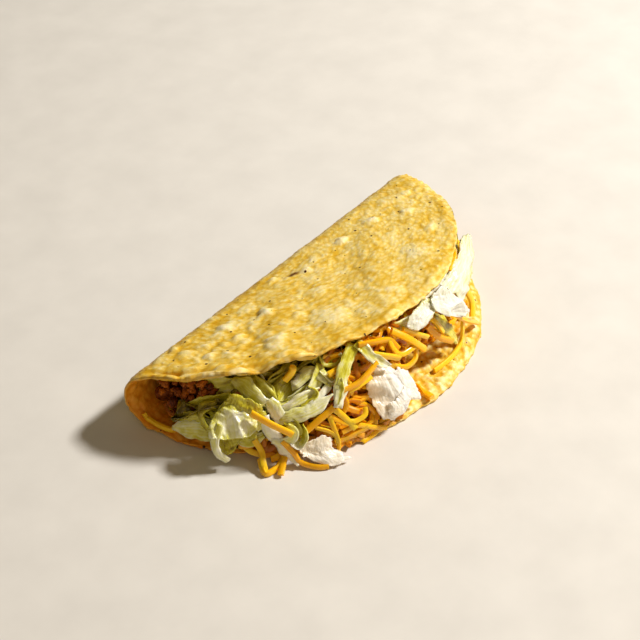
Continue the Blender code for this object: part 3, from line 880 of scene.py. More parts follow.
cheese, lettuce = Pile(), Pile()
rng = np.random.default_rng(7)               # a seeded chance, so the heap is the same each time
laid = {"cheese": 0, "lettuce": 0}
for attempt in range(ATTEMPTS):
    round_rim, tall = shred_line(rng, 1.0, 1.0)
    chance = cheese_share(np.array(round_rim[9]), np.array(tall[9] / MOUTH_HEIGHT))
    is_cheese = bool(rng.random() < chance)
    low, high = CHEESE_LENGTH if is_cheese else LETTUCE_LENGTH
    length = rng.uniform(low, high)
    round_rim = round_rim[9] + (round_rim - round_rim[9]) * length
    tall = tall[9] + (tall - tall[9]) * length
    on_beef = round_rim.min() < -79 and tall[round_rim < -79].max() > 9
    if tall.min() < -1.5 or tall.max() > 29.5 or abs(round_rim).max() > 104 or on_beef:
        continue
    width = rng.uniform(*(CHEESE_WIDTH if is_cheese else LETTUCE_WIDTH))
    thickness = width * rng.uniform(0.55, 0.85) if is_cheese else rng.uniform(0.35, 0.55)
    room = thickness if is_cheese else 1.3
    out = lay(round_rim, tall, width, room)
    if out is None:
        continue
    line = keep_in_room(mouth(round_rim, tall / MOUTH_HEIGHT, out), thickness / 2 + 0.1)
    seed = 1000 + attempt
    # Painted shade: shreds that lie deep in the heap get darker tones.
    depth_shade = 0.95 * smoothstep(0.6, 2.6, np.mean(look_up(heap_goal, round_rim, tall)[2] - out))
    if is_cheese:
        points, grain = bend_along(BAR, line, width, thickness, roll=rng.uniform(-0.5, 0.5), seed=seed)
        tone = np.full(len(points), rng.uniform(0.2, 1) * (1 - depth_shade))
        cheese.add(keep_in_room(points), BAR[1], grain, tone)
        laid["cheese"] += 1
    else:
        bend = dict(roll=(rng.normal(0, 0.6), rng.normal(0, 0.6)), cup=rng.uniform(-0.6, 0.6),
                    ruffle=rng.uniform(0.05, 0.2), folded=0.25)
        points, grain = bend_along(STRIP, line, width, thickness, ends=tuple(rng.uniform(0.4, 1, 2)),
                                   seed=seed, **bend)
        tone = rng.uniform(0.25, 0.8) + 0.4 * depth_shade + rng.normal(0, 0.2) * (STRIP[0][:, 0] * 2)
        lettuce.add(keep_in_room(points), STRIP[1], grain, np.clip(tone, 0, 1))
        laid["lettuce"] += 1
print("laid:", laid)

# %% [markdown]
# The shreds that lie on top are the ones that a viewer looks at, so each is listed one by one:
# its width in millimetres, then a few places in the mouth, through which its line is drawn smoothly.
# Those whose height nears 0 while they stand far out hang over the rim and rest on the table.
# %% Cheese on top
SHOWN_CHEESE = [
    (1.9, (-61.5, 0.67, 5), (-57, 0.53, 6), (-52.5, 0.38, 6)),
    (1.9, (-102, 0.28, -2), (-101, 0.03, -2), (-97, 0.02, -1.4), (-91, 0.14, -1.2), (-87, 0.32, -2)),
    (1.6, (-56, 0.29, 5), (-54, 0.16, 6), (-53, 0.04, 6), (-49, 0, 7.4), (-46, 0, 7.8)),
    (1.8, (-64, 0.27, 3), (-63, 0.14, 4), (-63, 0.07, 6.5), (-63, 0, 7.5)),
    (1.9, (-64, 0.07, 4.6), (-63, 0, 8.7), (-60, 0, 6.5), (-57, 0.07, 4.4)),
    (1.9, (-57, 0.09, 4.8), (-58, 0.04, 6.6), (-59, 0, 9.2)),
    (1.8, (-69, 0.2, 1), (-67, 0.1, 2), (-64, 0.06, 2.6)),
    (2.0, (-51, 0.26, 3), (-45, 0.39, 3), (-39, 0.5, 3)),
    (1.2, (-46, 0.33, 3), (-42, 0.26, 4), (-41, 0.14, 4), (-42, 0.03, 4)),
    (1.5, (-41, 0.42, 3), (-41, 0.28, 4), (-41, 0.15, 4)),
    (1.7, (-41, 0.42, 3), (-38, 0.33, 3.4), (-34, 0.24, 3)),
    (1.9, (-39, 0.48, 3), (-37, 0.37, 3.4), (-35, 0.22, 3.4)),
    (2.3, (-42, 0.09, 2), (-37, 0.12, 2), (-31, 0.16, 2)),
    (1.5, (-39, 0.21, 3), (-34, 0.23, 3), (-30, 0.14, 2), (-25, 0.04, 1)),
    (1.5, (-36, 0.31, 3.4), (-34, 0.3, 3.6), (-31, 0.33, 3.6), (-30, 0.38, 2.5)),
    (1.7, (-35, 0.64, 3), (-30, 0.66, 3), (-27, 0.7, 3), (-22, 0.75, 2)),
    (1.8, (-22, 0.82, 1), (-19, 0.77, 1.8), (-14, 0.66, 1.4)),
    (1.5, (-15, 0.86, 0), (-15, 0.77, 1), (-13, 0.68, 1.4), (-7, 0.66, 1)),
    (2.1, (-13, 0.9, -0.5), (-9, 0.78, 1.2), (-4, 0.58, 1.4)),
    (1.5, (-9, 0.86, 0), (-5, 0.75, 0.3), (0, 0.62, 0)),
    (1.8, (-25, 0.92, -1), (-20, 0.9, 0), (-15, 0.84, 0), (-13, 0.73, 0.6)),
    (1.9, (-6, 0.61, 0), (-8, 0.53, 0.5), (-12, 0.51, 0.5), (-15, 0.55, 0), (-17, 0.62, 0)),
    (1.4, (5, 0.72, -2), (7, 0.63, -1), (9, 0.49, -1)),
    (2.0, (5, 0.6, -3.5), (8, 0.44, -2.6), (14, 0.28, -2)),
    (1.8, (27, 0.5, -1), (23, 0.34, -1), (22, 0.11, -3), (16, 0.06, -4), (10, 0.06, -5), (5, 0.06, -6)),
    (1.8, (16, 0.57, 0), (22, 0.38, 0), (33, 0.1, 0)),
    (1.9, (35, 0.97, -1), (29, 0.94, -0.5), (22, 0.92, -0.5)),
    (2.1, (26, 0.67, 1.6), (28, 0.48, 1.8), (26, 0.34, 1.4)),
    (2.2, (-5, 0.06, -6.3), (-6, 0.06, -2.8), (-6, 0.07, 0.8)),
    (2.0, (-46, 0.94, -2), (-47, 0.88, -1.5), (-50, 0.8, -1.5)),
    (2.0, (-37, 0.76, -0.5), (-31, 0.77, -1.5)),
    (1.7, (-35, 0.56, 1.5), (-35, 0.45, 1.8), (-37, 0.37, 1.6)),
    (1.6, (-33, 0.59, 2), (-30, 0.61, 2.2), (-25, 0.63, 1.6)),
]

for index, (width, *places) in enumerate(SHOWN_CHEESE):
    places = smooth_line(places, 40)
    line = keep_in_room(mouth(*places.T), width / 2)
    points, grain = bend_along(LONG_BAR, line, width, width * 0.66, roll=0.5 * math.sin(index * 1.7),
                               seed=100 + index)
    tone = np.full(len(points), 0.7 + 0.3 * math.sin(index * 2.4))
    cheese.add(keep_in_room(points), LONG_BAR[1], grain, tone)
print("cheese shreds placed by hand:", len(SHOWN_CHEESE))

# %% [markdown]
# The lettuce strips on top have a rib end and a leaf end, so each has two tones, from 0, white, to
# 1, dark green. It also has its width, the share of that width left at each end, and how far it
# rolls about its own line.
# %% Lettuce on top
SHOWN_LETTUCE = [
    (6.2, (0.8, 0.9), 0.1, (0.75, 0.3), (-65, 0.91, -2.5), (-61, 0.78, 0), (-58, 0.66, 2.2)),
    (3.4, (0.5, 0.5), -0.1, (0.75, 0.6), (-59, 0.88, -3), (-57, 0.8, -0.8), (-54, 0.64, 1.2)),
    (8.4, (0.6, 0.7), 0.15, (0.8, 0.45), (-41, 0.71, -6), (-47, 0.65, -4.5), (-54, 0.56, -0.5)),
    (3.6, (0.7, 0.5), -0.2, (0.7, 0.05), (-38, 0.82, -4), (-40, 0.73, -2.5), (-44, 0.65, -0.5),
     (-48, 0.57, 1.2)),
    (1.8, (0.6, 0.6), 1.0, (0.5, 0.8), (-44, 0.72, 0), (-42, 0.67, 1.2), (-44, 0.62, 2.2), (-48, 0.58, 2)),
    (4.6, (0.8, 0.12), -0.3, (0.45, 0.2), (-55, 0.5, 3.2), (-50, 0.54, 4), (-45, 0.56, 4), (-38, 0.64, 3)),
    (2.2, (0.5, 0.5), 0.4, (0.1, 0.05), (-36, 0.68, -1), (-41, 0.62, 1.2), (-45, 0.56, 2.2)),
    (4.2, (0.9, 0.7), 0.1, (0.75, 0.15), (-26, 0.92, -2.5), (-32, 0.79, 0.5), (-35, 0.68, 2.5),
     (-38, 0.51, 4.2)),
    (2.4, (0.5, 0.8), 0.4, (0.5, 0.3), (-34, 0.74, 1.6), (-36, 0.64, 3.2), (-38, 0.55, 4.2)),
    (3.2, (0.9, 0.4), -0.1, (0.6, 0.1), (-25, 0.93, -2), (-23, 0.82, 1), (-21, 0.74, 2),
     (-18.5, 0.66, 2.2)),
    (4.2, (0.2, 0.8), 0.3, (0.7, 0.75), (-83, 0.58, -2.5), (-76, 0.64, -2), (-67, 0.71, -2)),
    (7.0, (0.3, 0.9), 0.0, (0.3, 0.6), (-90, 0.22, 0), (-83, 0.31, 0.8), (-75, 0.3, 1)),
    (4.8, (0.2, 0.7), 0.2, (0.6, 0.75), (-89, 0.36, -0.8), (-83, 0.43, 0), (-77, 0.48, 0.6)),
    (3.6, (0.4, 0.7), 0.5, (0.95, 0.75), (-72, 0.68, -0.5), (-76, 0.63, 0.6), (-78, 0.52, 1.4),
     (-77, 0.35, 1.9)),
    (1.8, (0.8, 0.4), 0.2, (0.5, 0.6), (-79, 0.82, -6), (-78, 0.73, -5), (-76, 0.68, -4)),
    (2.6, (0.5, 0.8), 0.1, (0.7, 0.75), (-77, 0.81, -5), (-72, 0.76, -5), (-66, 0.76, -4)),
    (2.0, (0.3, 0.7), 0.1, (0.75, 0.75), (-76, 0.69, -5), (-73, 0.69, -4), (-67, 0.71, -4)),
    (2.6, (0.8, 0.3), 0.0, (0.75, 0.8), (-62, 0.84, -6), (-57, 0.79, -6), (-51, 0.74, -6)),
    (3.8, (0.7, 0.4), 0.2, (0.8, 0.6), (-60, 0.83, -4.5), (-56, 0.74, -2), (-55, 0.62, 0)),
    (2.2, (0.4, 0.8), -0.4, (0.65, 0.5), (-50, 0.73, -5), (-46, 0.67, -5), (-42, 0.73, -6)),
    (2.6, (0.6, 0.6), 0.5, (0.35, 0.6), (-51, 0.6, -1), (-45, 0.63, -2.4), (-40, 0.7, -3)),
    (1.6, (0.6, 0.6), 0.6, (0.3, 0.5), (-39, 0.76, -3), (-37, 0.67, -0.5), (-34, 0.7, -1)),
    (5.4, (0.7, 0.7), 0.0, (0.75, 0.45), (-67, 0.66, 1), (-63, 0.55, 2), (-60, 0.43, 2.6)),
    (3.4, (0.5, 0.6), -0.3, (0.5, 0.5), (-70, 0.25, 2), (-66, 0.23, 2.4), (-61, 0.31, 2.2)),
    (4.0, (0.8, 0.6), 0.0, (0.35, 0.1), (-56, 0.72, 2), (-55, 0.58, 3), (-55, 0.46, 3.4)),
    (4.0, (0.9, 0.2), 0.2, (0.2, 0.0), (-59, 0.56, 3), (-59, 0.41, 4), (-57, 0.28, 4.6), (-56, 0.12, 5),
     (-54, 0.02, 6.8)),
    (2.9, (0.8, 0.9), 0.1, (0.3, 0.55), (-59, 0.28, 4), (-56, 0.28, 5), (-53, 0.32, 5.7),
     (-52, 0.4, 5.7), (-53.5, 0.46, 5)),
    (2.8, (0.6, 0.9), 0.9, (0.8, 0.15), (-49, 0.43, 4), (-49, 0.36, 5), (-50, 0.27, 5.7),
     (-52, 0.22, 5.7), (-53.5, 0.27, 5)),
    (3.2, (0.9, 0.7), -0.3, (0.75, 0.8), (-53, 0.5, 3.6), (-51.5, 0.45, 4.4), (-51, 0.36, 4.4),
     (-52, 0.3, 4)),
    (3.8, (0.6, 0.4), 0.2, (0.2, 0.4), (-53, 0.59, 2.2), (-47, 0.65, 1.7), (-41, 0.63, -1)),
    (4.6, (0.8, 0.9), 0.1, (0.5, 0.4), (-10, 0.84, -3), (-3, 0.82, -2), (6, 0.8, -2)),
    (5.0, (0.7, 0.6), 0.0, (0.75, 0.6), (9, 0.64, -3), (14, 0.43, -2.4), (18, 0.2, -2.4)),
    (2.6, (0.8, 0.5), 0.2, (0.7, 0.65), (-37, 0.86, -4), (-35, 0.79, -4), (-30, 0.84, -4)),
    (2.2, (0.8, 0.5), 0.1, (0.95, 0.85), (-35, 0.73, -4.2), (-33, 0.74, -4), (-30, 0.78, -4.2)),
    (1.8, (0.6, 0.5), 0.3, (0.45, 0.3), (-31, 0.88, -2.6), (-30, 0.79, -2.6), (-32, 0.7, -1.6)),
    (3.4, (0.9, 0.6), 0.1, (0.6, 0.7), (-78, 0.9, -4), (-72, 0.85, -3.6), (-65, 0.86, -3.4)),
    (3.0, (0.9, 0.5), -0.2, (0.5, 0.7), (-75, 0.8, -4.2), (-70, 0.76, -3.4), (-63, 0.78, -3)),
    (3.2, (0.8, 0.9), 0.3, (0.4, 0.2), (-70.5, 0.6, 6.6), (-73, 0.44, 8.2), (-74, 0.24, 8),
     (-72.5, 0.1, 7.4)),
    (2.2, (0.8, 0.8), 0.1, (0.1, 0.05), (21, 1.0, -0.5), (15, 0.98, -0.5), (7, 0.98, -0.5),
     (2, 0.98, -0.5)),
]


def add_strip(width, ends, roll, tones, places, ruffle, thickness, seed):
    """Lay one long lettuce strip through places in the mouth."""
    line = keep_in_room(mouth(*smooth_line(places, 40).T), 0.5)
    points, grain = bend_along(LONG_STRIP, line, width, thickness, roll=roll, cup=0.5 * math.sin(seed),
                               ruffle=ruffle, ends=ends, folded=0.12 * min(width, 5.5), seed=seed)
    share = LONG_STRIP[0][:, 0] + 0.5
    edge = np.abs(LONG_STRIP[0][:, 1]) * 2
    tone = tones[0] + (tones[1] - tones[0]) * share - 0.12 * edge ** 2
    lettuce.add(keep_in_room(points, 0.3), LONG_STRIP[1], grain, np.clip(tone, 0, 1))


for index, (width, ends, roll, tones, *places) in enumerate(SHOWN_LETTUCE):
    add_strip(width, ends, roll, tones, places, 0.1, 0.4, 200 + index)
print("lettuce strips placed by hand:", len(SHOWN_LETTUCE))

# %% [markdown]
# A torn leaf is a thin sheet that was crumpled and then held by what it lies on. So each large
# leaf starts as a flat grid, which is stretched between four edges drawn in the mouth, as cloth
# is stretched over a bent frame. Each point is a mix of the four edges' points.
# %% A sheet between four edges
def between_edges(grid, left, right, bottom, top):
    """Spread grid points from -0.5 to 0.5 over the surface between four edges."""
    u, v = grid[:, 0] + 0.5, grid[:, 1] + 0.5
    steps = np.linspace(0, 1, 60)
    edges = [mouth(*smooth_line(edge, 60).T) for edge in (left, right, bottom, top)]
    at_left, at_right, at_bottom, at_top = (
        np.stack([np.interp(share, steps, edge[:, k]) for k in range(3)], axis=-1)
        for share, edge in zip((v, v, u, u), edges))
    u, v = u[:, None], v[:, None]
    left_edge, right_edge = edges[0], edges[1]
    corners = (left_edge[0] * (1 - u) + right_edge[0] * u) * (1 - v) \
        + (left_edge[-1] * (1 - u) + right_edge[-1] * u) * v
    return at_left * (1 - u) + at_right * u + at_bottom * (1 - v) + at_top * v - corners


square = [[(0, 0, 0), (0, 1, 0)], [(20, 0, 0), (20, 1, 0)], [(0, 0, 0), (20, 0, 0)], [(0, 1, 0), (20, 1, 0)]]
print("middle of a trial sheet:", between_edges(np.zeros((1, 3)), *square).round(1))

# %% [markdown]
# Then the sheet is crumpled. Creases come from the ridges of a noise, which look more like folds
# than plain waves do, and low cells of a finer noise are the puffs between the smallest veins.
# Its edges are torn by moving them to and fro, and Solidify gives it its thickness. A cloth
# simulation was left out, because these folds are set by how the leaf grew, and not by its weight.
# %% Crumple a leaf
def model_leaf(edges, depth, fold_size, thickness, tones, seed, columns=60, rows=54, bulging=0.0, puffs=0.25):
    """Make one crumpled leaf between four edges; return its points, faces and what paints it.

    tones are its corners' and, if there is a fifth, its middle's. bulging swells its middle, and
    puffs is how high the small cells between its finest veins stand.
    """
    bpy.ops.object.select_all(action="DESELECT")
    bpy.ops.mesh.primitive_grid_add(x_subdivisions=columns, y_subdivisions=rows, size=1)
    leaf = bpy.context.object
    grid = read_points(leaf.data) * MM
    u, v = 2 * grid[:, 0], 2 * grid[:, 1]
    torn_u, torn_v = (0.11 * lumps(3.0 * w + 9, 0 * w, 1.0, seed + 40 + k)
                      + 0.06 * lumps(9.0 * w + 9, 0 * w, 1.0, seed + 41 + k) for w, k in ((v, 0), (u, 2)))
    moved = grid + 0.5 * np.stack([torn_u * u ** 3, torn_v * v ** 3, 0 * u], axis=-1)
    points = between_edges(moved, *edges)
    write_points(leaf.data, points)
    leaf.data.update()
    normals = read_normals(leaf.data)
    if np.mean(normals @ towards_camera) < 0:
        bpy.ops.object.mode_set(mode="EDIT")
        bpy.ops.mesh.select_all(action="SELECT")
        bpy.ops.mesh.flip_normals()
        bpy.ops.object.mode_set(mode="OBJECT")
        normals = -normals
    spread = points @ np.array([0.8, -0.6, 0.0]), 1.3 * points[:, 2] + 0.5 * points[:, 0]
    folds = crumple(spread[0] + 90, spread[1] + 90, fold_size, seed)
    swelling = bulging * np.clip(1 - u ** 4, 0, 1) * np.clip(1 - v ** 4, 0, 1)
    cells = puffs * np.abs(lumps(spread[0] + 90, spread[1] + 90, 1.7, seed + 50))
    write_points(leaf.data, points + normals * (depth * folds + swelling + cells)[:, None])
    solid = leaf.modifiers.new("Thickness", "SOLIDIFY")
    solid.thickness = thickness * MM
    solid.offset = 0.0
    bpy.ops.object.modifier_apply(modifier="Thickness")
    made = keep_in_room(read_points(leaf.data), 0.15)
    faces = [tuple(p.vertices) for p in leaf.data.polygons]
    bpy.data.objects.remove(leaf)
    u, v = np.tile(grid[:, 0] + 0.5, 2), np.tile(grid[:, 1] + 0.5, 2)
    lower, upper = tones[0] + (tones[1] - tones[0]) * u, tones[2] + (tones[3] - tones[2]) * u
    # Painted highlight and shade: fold crests are paler and the hollows between them darker.
    tone = lower + (upper - lower) * v - 0.1 * np.tile(folds, 2)
    if len(tones) > 4:
        tone += (tones[4] - np.mean(tones[:4])) * 16 * u * v * (1 - u) * (1 - v)
    grain = np.stack([v * 14, u * 12, np.full(len(u), 3.0 * seed)], axis=-1)
    return made, faces, grain, np.clip(tone, 0, 1)


folds = crumple(*np.meshgrid(np.arange(30.0), np.arange(30.0)), 6.0, 5)
print("a trial fold goes from", round(float(folds.min()), 2), "to", round(float(folds.max()), 2))

# %% [markdown]
# Each leaf is written down as its four edges: left, right, bottom and top, each as a few places
# in the mouth. Their corners have to meet. At the left a green leaf stands behind, a white one
# folds over it and hangs down, and a third lies under both. At the right a large white one leans
# on the upper flap.
# %% Torn leaves
LEFT_BACK = (
    [(-74, 0.54, 3.3), (-70, 0.69, 2.5), (-66, 0.85, 1.4)],
    [(-60, 0.4, 3), (-59, 0.53, 2.5), (-58, 0.67, 2)],
    [(-74, 0.54, 3.3), (-70, 0.45, 3.4), (-66, 0.37, 3.4), (-60, 0.4, 3)],
    [(-66, 0.85, 1.4), (-62, 0.79, 2), (-58, 0.67, 2)],
)
LEFT_FRONT = (
    [(-74.5, 0.42, 8), (-74, 0.51, 6.4), (-72.5, 0.59, 4)],
    [(-62, 0.44, 4.4), (-61, 0.54, 3), (-61, 0.66, 1)],
    [(-74.5, 0.42, 8), (-71, 0.45, 8), (-68, 0.43, 7.2), (-65, 0.4, 6), (-62, 0.44, 4.4)],
    [(-72.5, 0.59, 4), (-69.5, 0.67, 2.6), (-66, 0.71, 1.8), (-61, 0.66, 1)],
)
LEFT_UNDER = (
    [(-75, 0.06, 4.2), (-75, 0.16, 3.8), (-75, 0.31, 3.2)],
    [(-66, 0.28, 3.6), (-63, 0.31, 3.4), (-62, 0.38, 2.8)],
    [(-75, 0.06, 4.2), (-71, 0.13, 3.8), (-68, 0.27, 3.6), (-66, 0.28, 3.6)],
    [(-75, 0.31, 3.2), (-69, 0.36, 2.8), (-62, 0.38, 2.8)],
)
LOW_LEAF = (
    [(-52, 0.1, 6), (-52, 0.16, 5), (-51, 0.22, 4)],
    [(-39, 0, 7), (-43, 0.08, 5), (-43, 0.22, 3.5)],
    [(-52, 0.1, 6), (-50, 0.06, 6), (-45, 0, 8), (-39, 0, 7)],
    [(-51, 0.22, 4), (-48, 0.23, 4), (-45, 0.25, 3.7), (-43, 0.22, 3.5)],
)
RIGHT_BACK = (
    [(12, 0.95, -0.5), (20, 0.93, -0.5), (31, 0.92, -0.5), (40, 0.98, 0)],
    [(20, 0.62, 1.8), (29, 0.69, 2.4), (44, 0.66, 2), (52, 0.78, 2.4)],
    [(12, 0.95, -0.5), (15, 0.83, 1.2), (20, 0.62, 1.8)],
    [(40, 0.98, 0), (46, 0.9, 1.6), (52, 0.78, 2.4)],
)
RIGHT_FRONT = (
    [(3, 0.96, 1.6), (6, 1.0, 1.7), (11, 1.01, 2)],
    [(22, 0.5, 2.8), (18, 0.66, 3.6), (13, 0.9, 3)],
    [(3, 0.96, 1.6), (4, 0.84, 2.6), (10, 0.68, 3.2), (16, 0.58, 3.2), (22, 0.5, 2.8)],
    [(11, 1.01, 2), (12, 0.96, 2.6), (13, 0.9, 3)],
)
RIGHT_LOW = (
    [(-8, 0.88, 0.6), (-7, 0.95, 0.4), (-3, 0.96, -0.2), (2, 0.96, -0.5)],
    [(-3, 0.8, 1.6), (1, 0.82, 1.9), (5, 0.85, 1.4), (5, 0.94, 0.8)],
    [(-8, 0.88, 0.6), (-6, 0.82, 1.4), (-3, 0.8, 1.6)],
    [(2, 0.96, -0.5), (4, 0.96, 0.2), (5, 0.94, 0.8)],
)
LEAF_THICKNESS = 0.45
leaf_left, leaf_low, leaf_right = Pile(), Pile(), Pile()
for leaf, edges, depth, fold_size, tones, seed, *cuts in (
    (leaf_left, LEFT_BACK, 1.2, 8.0, (0.5, 0.55, 0.75, 0.7), 3),
    (leaf_left, LEFT_FRONT, 2.2, 6.0, (0.35, 0.4, 0.6, 0.65, 0.1), 5),
    (leaf_left, LEFT_UNDER, 1.2, 6.0, (0.75, 0.6, 0.85, 0.6), 7, 36, 32),
    (leaf_low, LOW_LEAF, 1.2, 6.0, (0.25, 0.1, 0.35, 0.3), 8, 40, 32),
    (leaf_right, RIGHT_BACK, 1.8, 7.0, (0.3, 0.4, 0.5, 0.45, 0.3), 12),
    (leaf_right, RIGHT_FRONT, 2.0, 6.0, (0.2, 0.15, 0.2, 0.2, 0.0), 14),
    (leaf_right, RIGHT_LOW, 1.6, 5.0, (0.35, 0.25, 0.7, 0.6, 0.1), 16, 40, 36),
):
    leaf.add(*model_leaf(edges, depth, fold_size, LEAF_THICKNESS, tones, seed, *cuts))
print("leaf points:", leaf_left.total, leaf_low.total, leaf_right.total)

# %% [markdown]
# The piece of lettuce heart is a few thick white leaves that grew folded round each other, so it
# is layered: a large crumpled leaf, a lobe low on it and a smaller leaf at its right, all over a
# rounded middle, which starts as a ball and keeps the layers from looking hollow. They swell in
# the middle, because a leaf so near the heart is more rib than blade.
# %% Piece of lettuce heart
HEART_BODY = (
    [(-26, 0.19, 2.2), (-27, 0.33, 1.4), (-27.3, 0.45, 0.3), (-26.8, 0.56, -0.6)],
    [(-15.5, 0.25, 2.0), (-14.5, 0.36, 1.4), (-15, 0.47, 0.4), (-18, 0.58, -0.8)],
    [(-26, 0.19, 2.2), (-22.5, 0.14, 2.5), (-19, 0.17, 2.4), (-15.5, 0.25, 2.0)],
    [(-26.8, 0.56, -0.6), (-23, 0.66, -1.0), (-20.5, 0.64, -1.0), (-18, 0.58, -0.8)],
)
HEART_LOBE = (
    [(-24, 0.2, 3), (-24, 0.26, 3.6), (-23.5, 0.34, 3.2)],
    [(-15.5, 0.24, 1.6), (-15, 0.33, 2.2), (-16, 0.42, 2.4)],
    [(-24, 0.2, 3), (-21, 0.16, 2.8), (-18, 0.18, 2.4), (-15.5, 0.24, 1.6)],
    [(-23.5, 0.34, 3.2), (-20, 0.36, 3.6), (-16, 0.42, 2.4)],
)
HEART_RIGHT = (
    [(-17, 0.2, 0.4), (-18, 0.38, 1), (-18, 0.56, 0.6)],
    [(-10.5, 0.13, 0.6), (-11, 0.27, 0.7), (-12, 0.46, 0.2)],
    [(-17, 0.2, 0.4), (-14, 0.2, 1), (-10.5, 0.13, 0.6)],
    [(-18, 0.56, 0.6), (-15, 0.54, 0.7), (-12, 0.46, 0.2)],
)
SQUARENESS, MIDDLE_SHARE = 2.6, 0.31        # 2 is a ball, and more is nearer to a box


def model_heart_middle():
    """Round a ball into the middle of the piece of lettuce heart."""
    low, high = (np.array(corner) / MM - FRAME_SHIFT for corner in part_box("lettuce_heart"))
    bpy.ops.object.select_all(action="DESELECT")
    bpy.ops.mesh.primitive_ico_sphere_add(subdivisions=5, radius=1)
    sphere, faces = take_shape(bpy.context.object)
    block = sphere / np.sum(np.abs(sphere) ** SQUARENESS, axis=1, keepdims=True) ** (1 / SQUARENESS)
    points = (low + high) / 2 + block * (high - low) * MIDDLE_SHARE
    folds = crumple(points[:, 0] + 90, points[:, 2] + points[:, 1] + 90, 5.0, 21)
    points = keep_in_room(points + block * folds[:, None], 0.2)
    # Painted highlight and shade: the crests of its folds are paler and the hollows darker.
    return points, faces, points * 1.0, np.clip(0.12 - 0.1 * folds, 0, 1)


heart = Pile()
heart.add(*model_heart_middle())
heart.add(*model_leaf(HEART_BODY, 2.6, 8.5, 0.7, (0.3, 0.0, 0.65, 0.05, 0.1), 31,
                      bulging=0.8, puffs=0.3))
heart.add(*model_leaf(HEART_LOBE, 0.8, 6.0, 0.6, (0.2, 0.0, 0.2, 0.0), 33, 44, 36,
                      bulging=0.8, puffs=0.15))
heart.add(*model_leaf(HEART_RIGHT, 0.9, 6.0, 0.6, (0.15, 0.2, 0.05, 0.12), 35, 44, 36,
                      bulging=0.5, puffs=0.2))
print("heart points:", heart.total)

# %% [markdown]
# Ground beef is a heap of small lumps with rough, knobbly sides. One lump starts as a ball, three
# kinds are pressed out of it with noise, and each is copied, turned and sized by chance. Most lie
# at the left, where they show, and the rest at the far end of the fold.
# %% Ground beef
LUMPS, LUMPS_AT_LEFT = 420, 300


def model_crumb(seed):
    """Press a ball into a knobbly lump with a radius of about 1, and return its points and faces."""
    bpy.ops.object.select_all(action="DESELECT")
    bpy.ops.mesh.primitive_ico_sphere_add(subdivisions=3, radius=1)
    sphere, faces = take_shape(bpy.context.object)
    knobs = np.array([noise.noise(Vector(p) * 1.5 + Vector((seed, 0, 0)))
                      + 0.9 * noise.noise(Vector(p) * 3.6 + Vector((0, seed, 0))) for p in sphere])
    return sphere * (1 + 0.45 * knobs)[:, None] * np.array([1.0, 0.85, 0.75]), faces


def turned(rng):
    """Return a matrix that turns points about the origin by chance."""
    matrix, _ = np.linalg.qr(rng.normal(size=(3, 3)))
    return matrix * np.sign(np.linalg.det(matrix))


CRUMBS = [model_crumb(seed) for seed in (2, 9, 17)]
beef = Pile()
rng = np.random.default_rng(19)
for index in range(LUMPS):
    round_rim = rng.uniform(-91, -71) if index < LUMPS_AT_LEFT else rng.uniform(84, 98)
    height, out = rng.uniform(0.25, 0.97), -rng.uniform(2.5, 10)
    points, faces = CRUMBS[index % 3]
    size = rng.uniform(0.6, 1.7)
    centre = keep_in_room(mouth(np.array([round_rim]), np.array([height]), np.array([out])), size * 0.6)
    lump = keep_in_room(points @ turned(rng).T * size + centre)
    beef.add(lump, faces, lump * 1.0, np.full(len(lump), rng.random()))
print("beef lumps:", LUMPS, "in", beef.total, "points")

# %% [markdown]
# Under the loose pieces the heap is closed: each core is a copy of the model's own heap, drawn in
# by a few millimetres, so that no gap shows the inside of the shell. It is roughened a little,
# since it is glimpsed between the shreds, and it never goes below the heap that it was copied from.
# The cheese and lettuce cores take the darkest tones of their ramps, as painted shade in the gaps.
# %% Cores
CORE_ROUGHNESS = 0.8


def add_core(node, name, draw_in, tone):
    """Copy a heap of the model, draw it in and return it with what its material reads."""
    core = frame["nodes"][node].copy()
    core.data = core.data.copy()
    core.animation_data_clear()
    for key in list(core.keys()):
        del core[key]
    core.parent = None
    core.hide_render = core.hide_viewport = False
    bpy.context.scene.collection.objects.link(core)
    bpy.ops.object.select_all(action="DESELECT")
    core.select_set(True)
    bpy.context.view_layer.objects.active = core
    bpy.ops.object.mode_set(mode="EDIT")
    bpy.ops.mesh.select_all(action="SELECT")
    bpy.ops.mesh.remove_doubles(threshold=1e-5)
    bpy.ops.mesh.subdivide(number_cuts=1)
    bpy.ops.object.mode_set(mode="OBJECT")
    points = read_points(core.data)
    rough = np.array([noise.noise(Vector(p) / 2.5) for p in points])
    drawn_in = points - read_normals(core.data) * (draw_in + CORE_ROUGHNESS * rough)[:, None]
    drawn_in[:, 2] = np.maximum(drawn_in[:, 2], points[:, 2].min())
    write_points(core.data, drawn_in)
    paint(core.data, "grain", read_points(core.data))
    paint(core.data, "tone", np.full(len(points), tone))
    core.name = name
    return core


# Painted shade: the lettuce core's 1.0 and the cheese core's 0.0 are their darkest tones.
beef_core = add_core("ground_beef", "beef_core", 1.0, 0.3)
lettuce_core = add_core("shredded_lettuce", "lettuce_core", 4.5, 1.0)
cheese_core = add_core("shredded_cheese", "cheese_core", 4.0, 0.0)
print("cores:", [core.name for core in (beef_core, lettuce_core, cheese_core)])

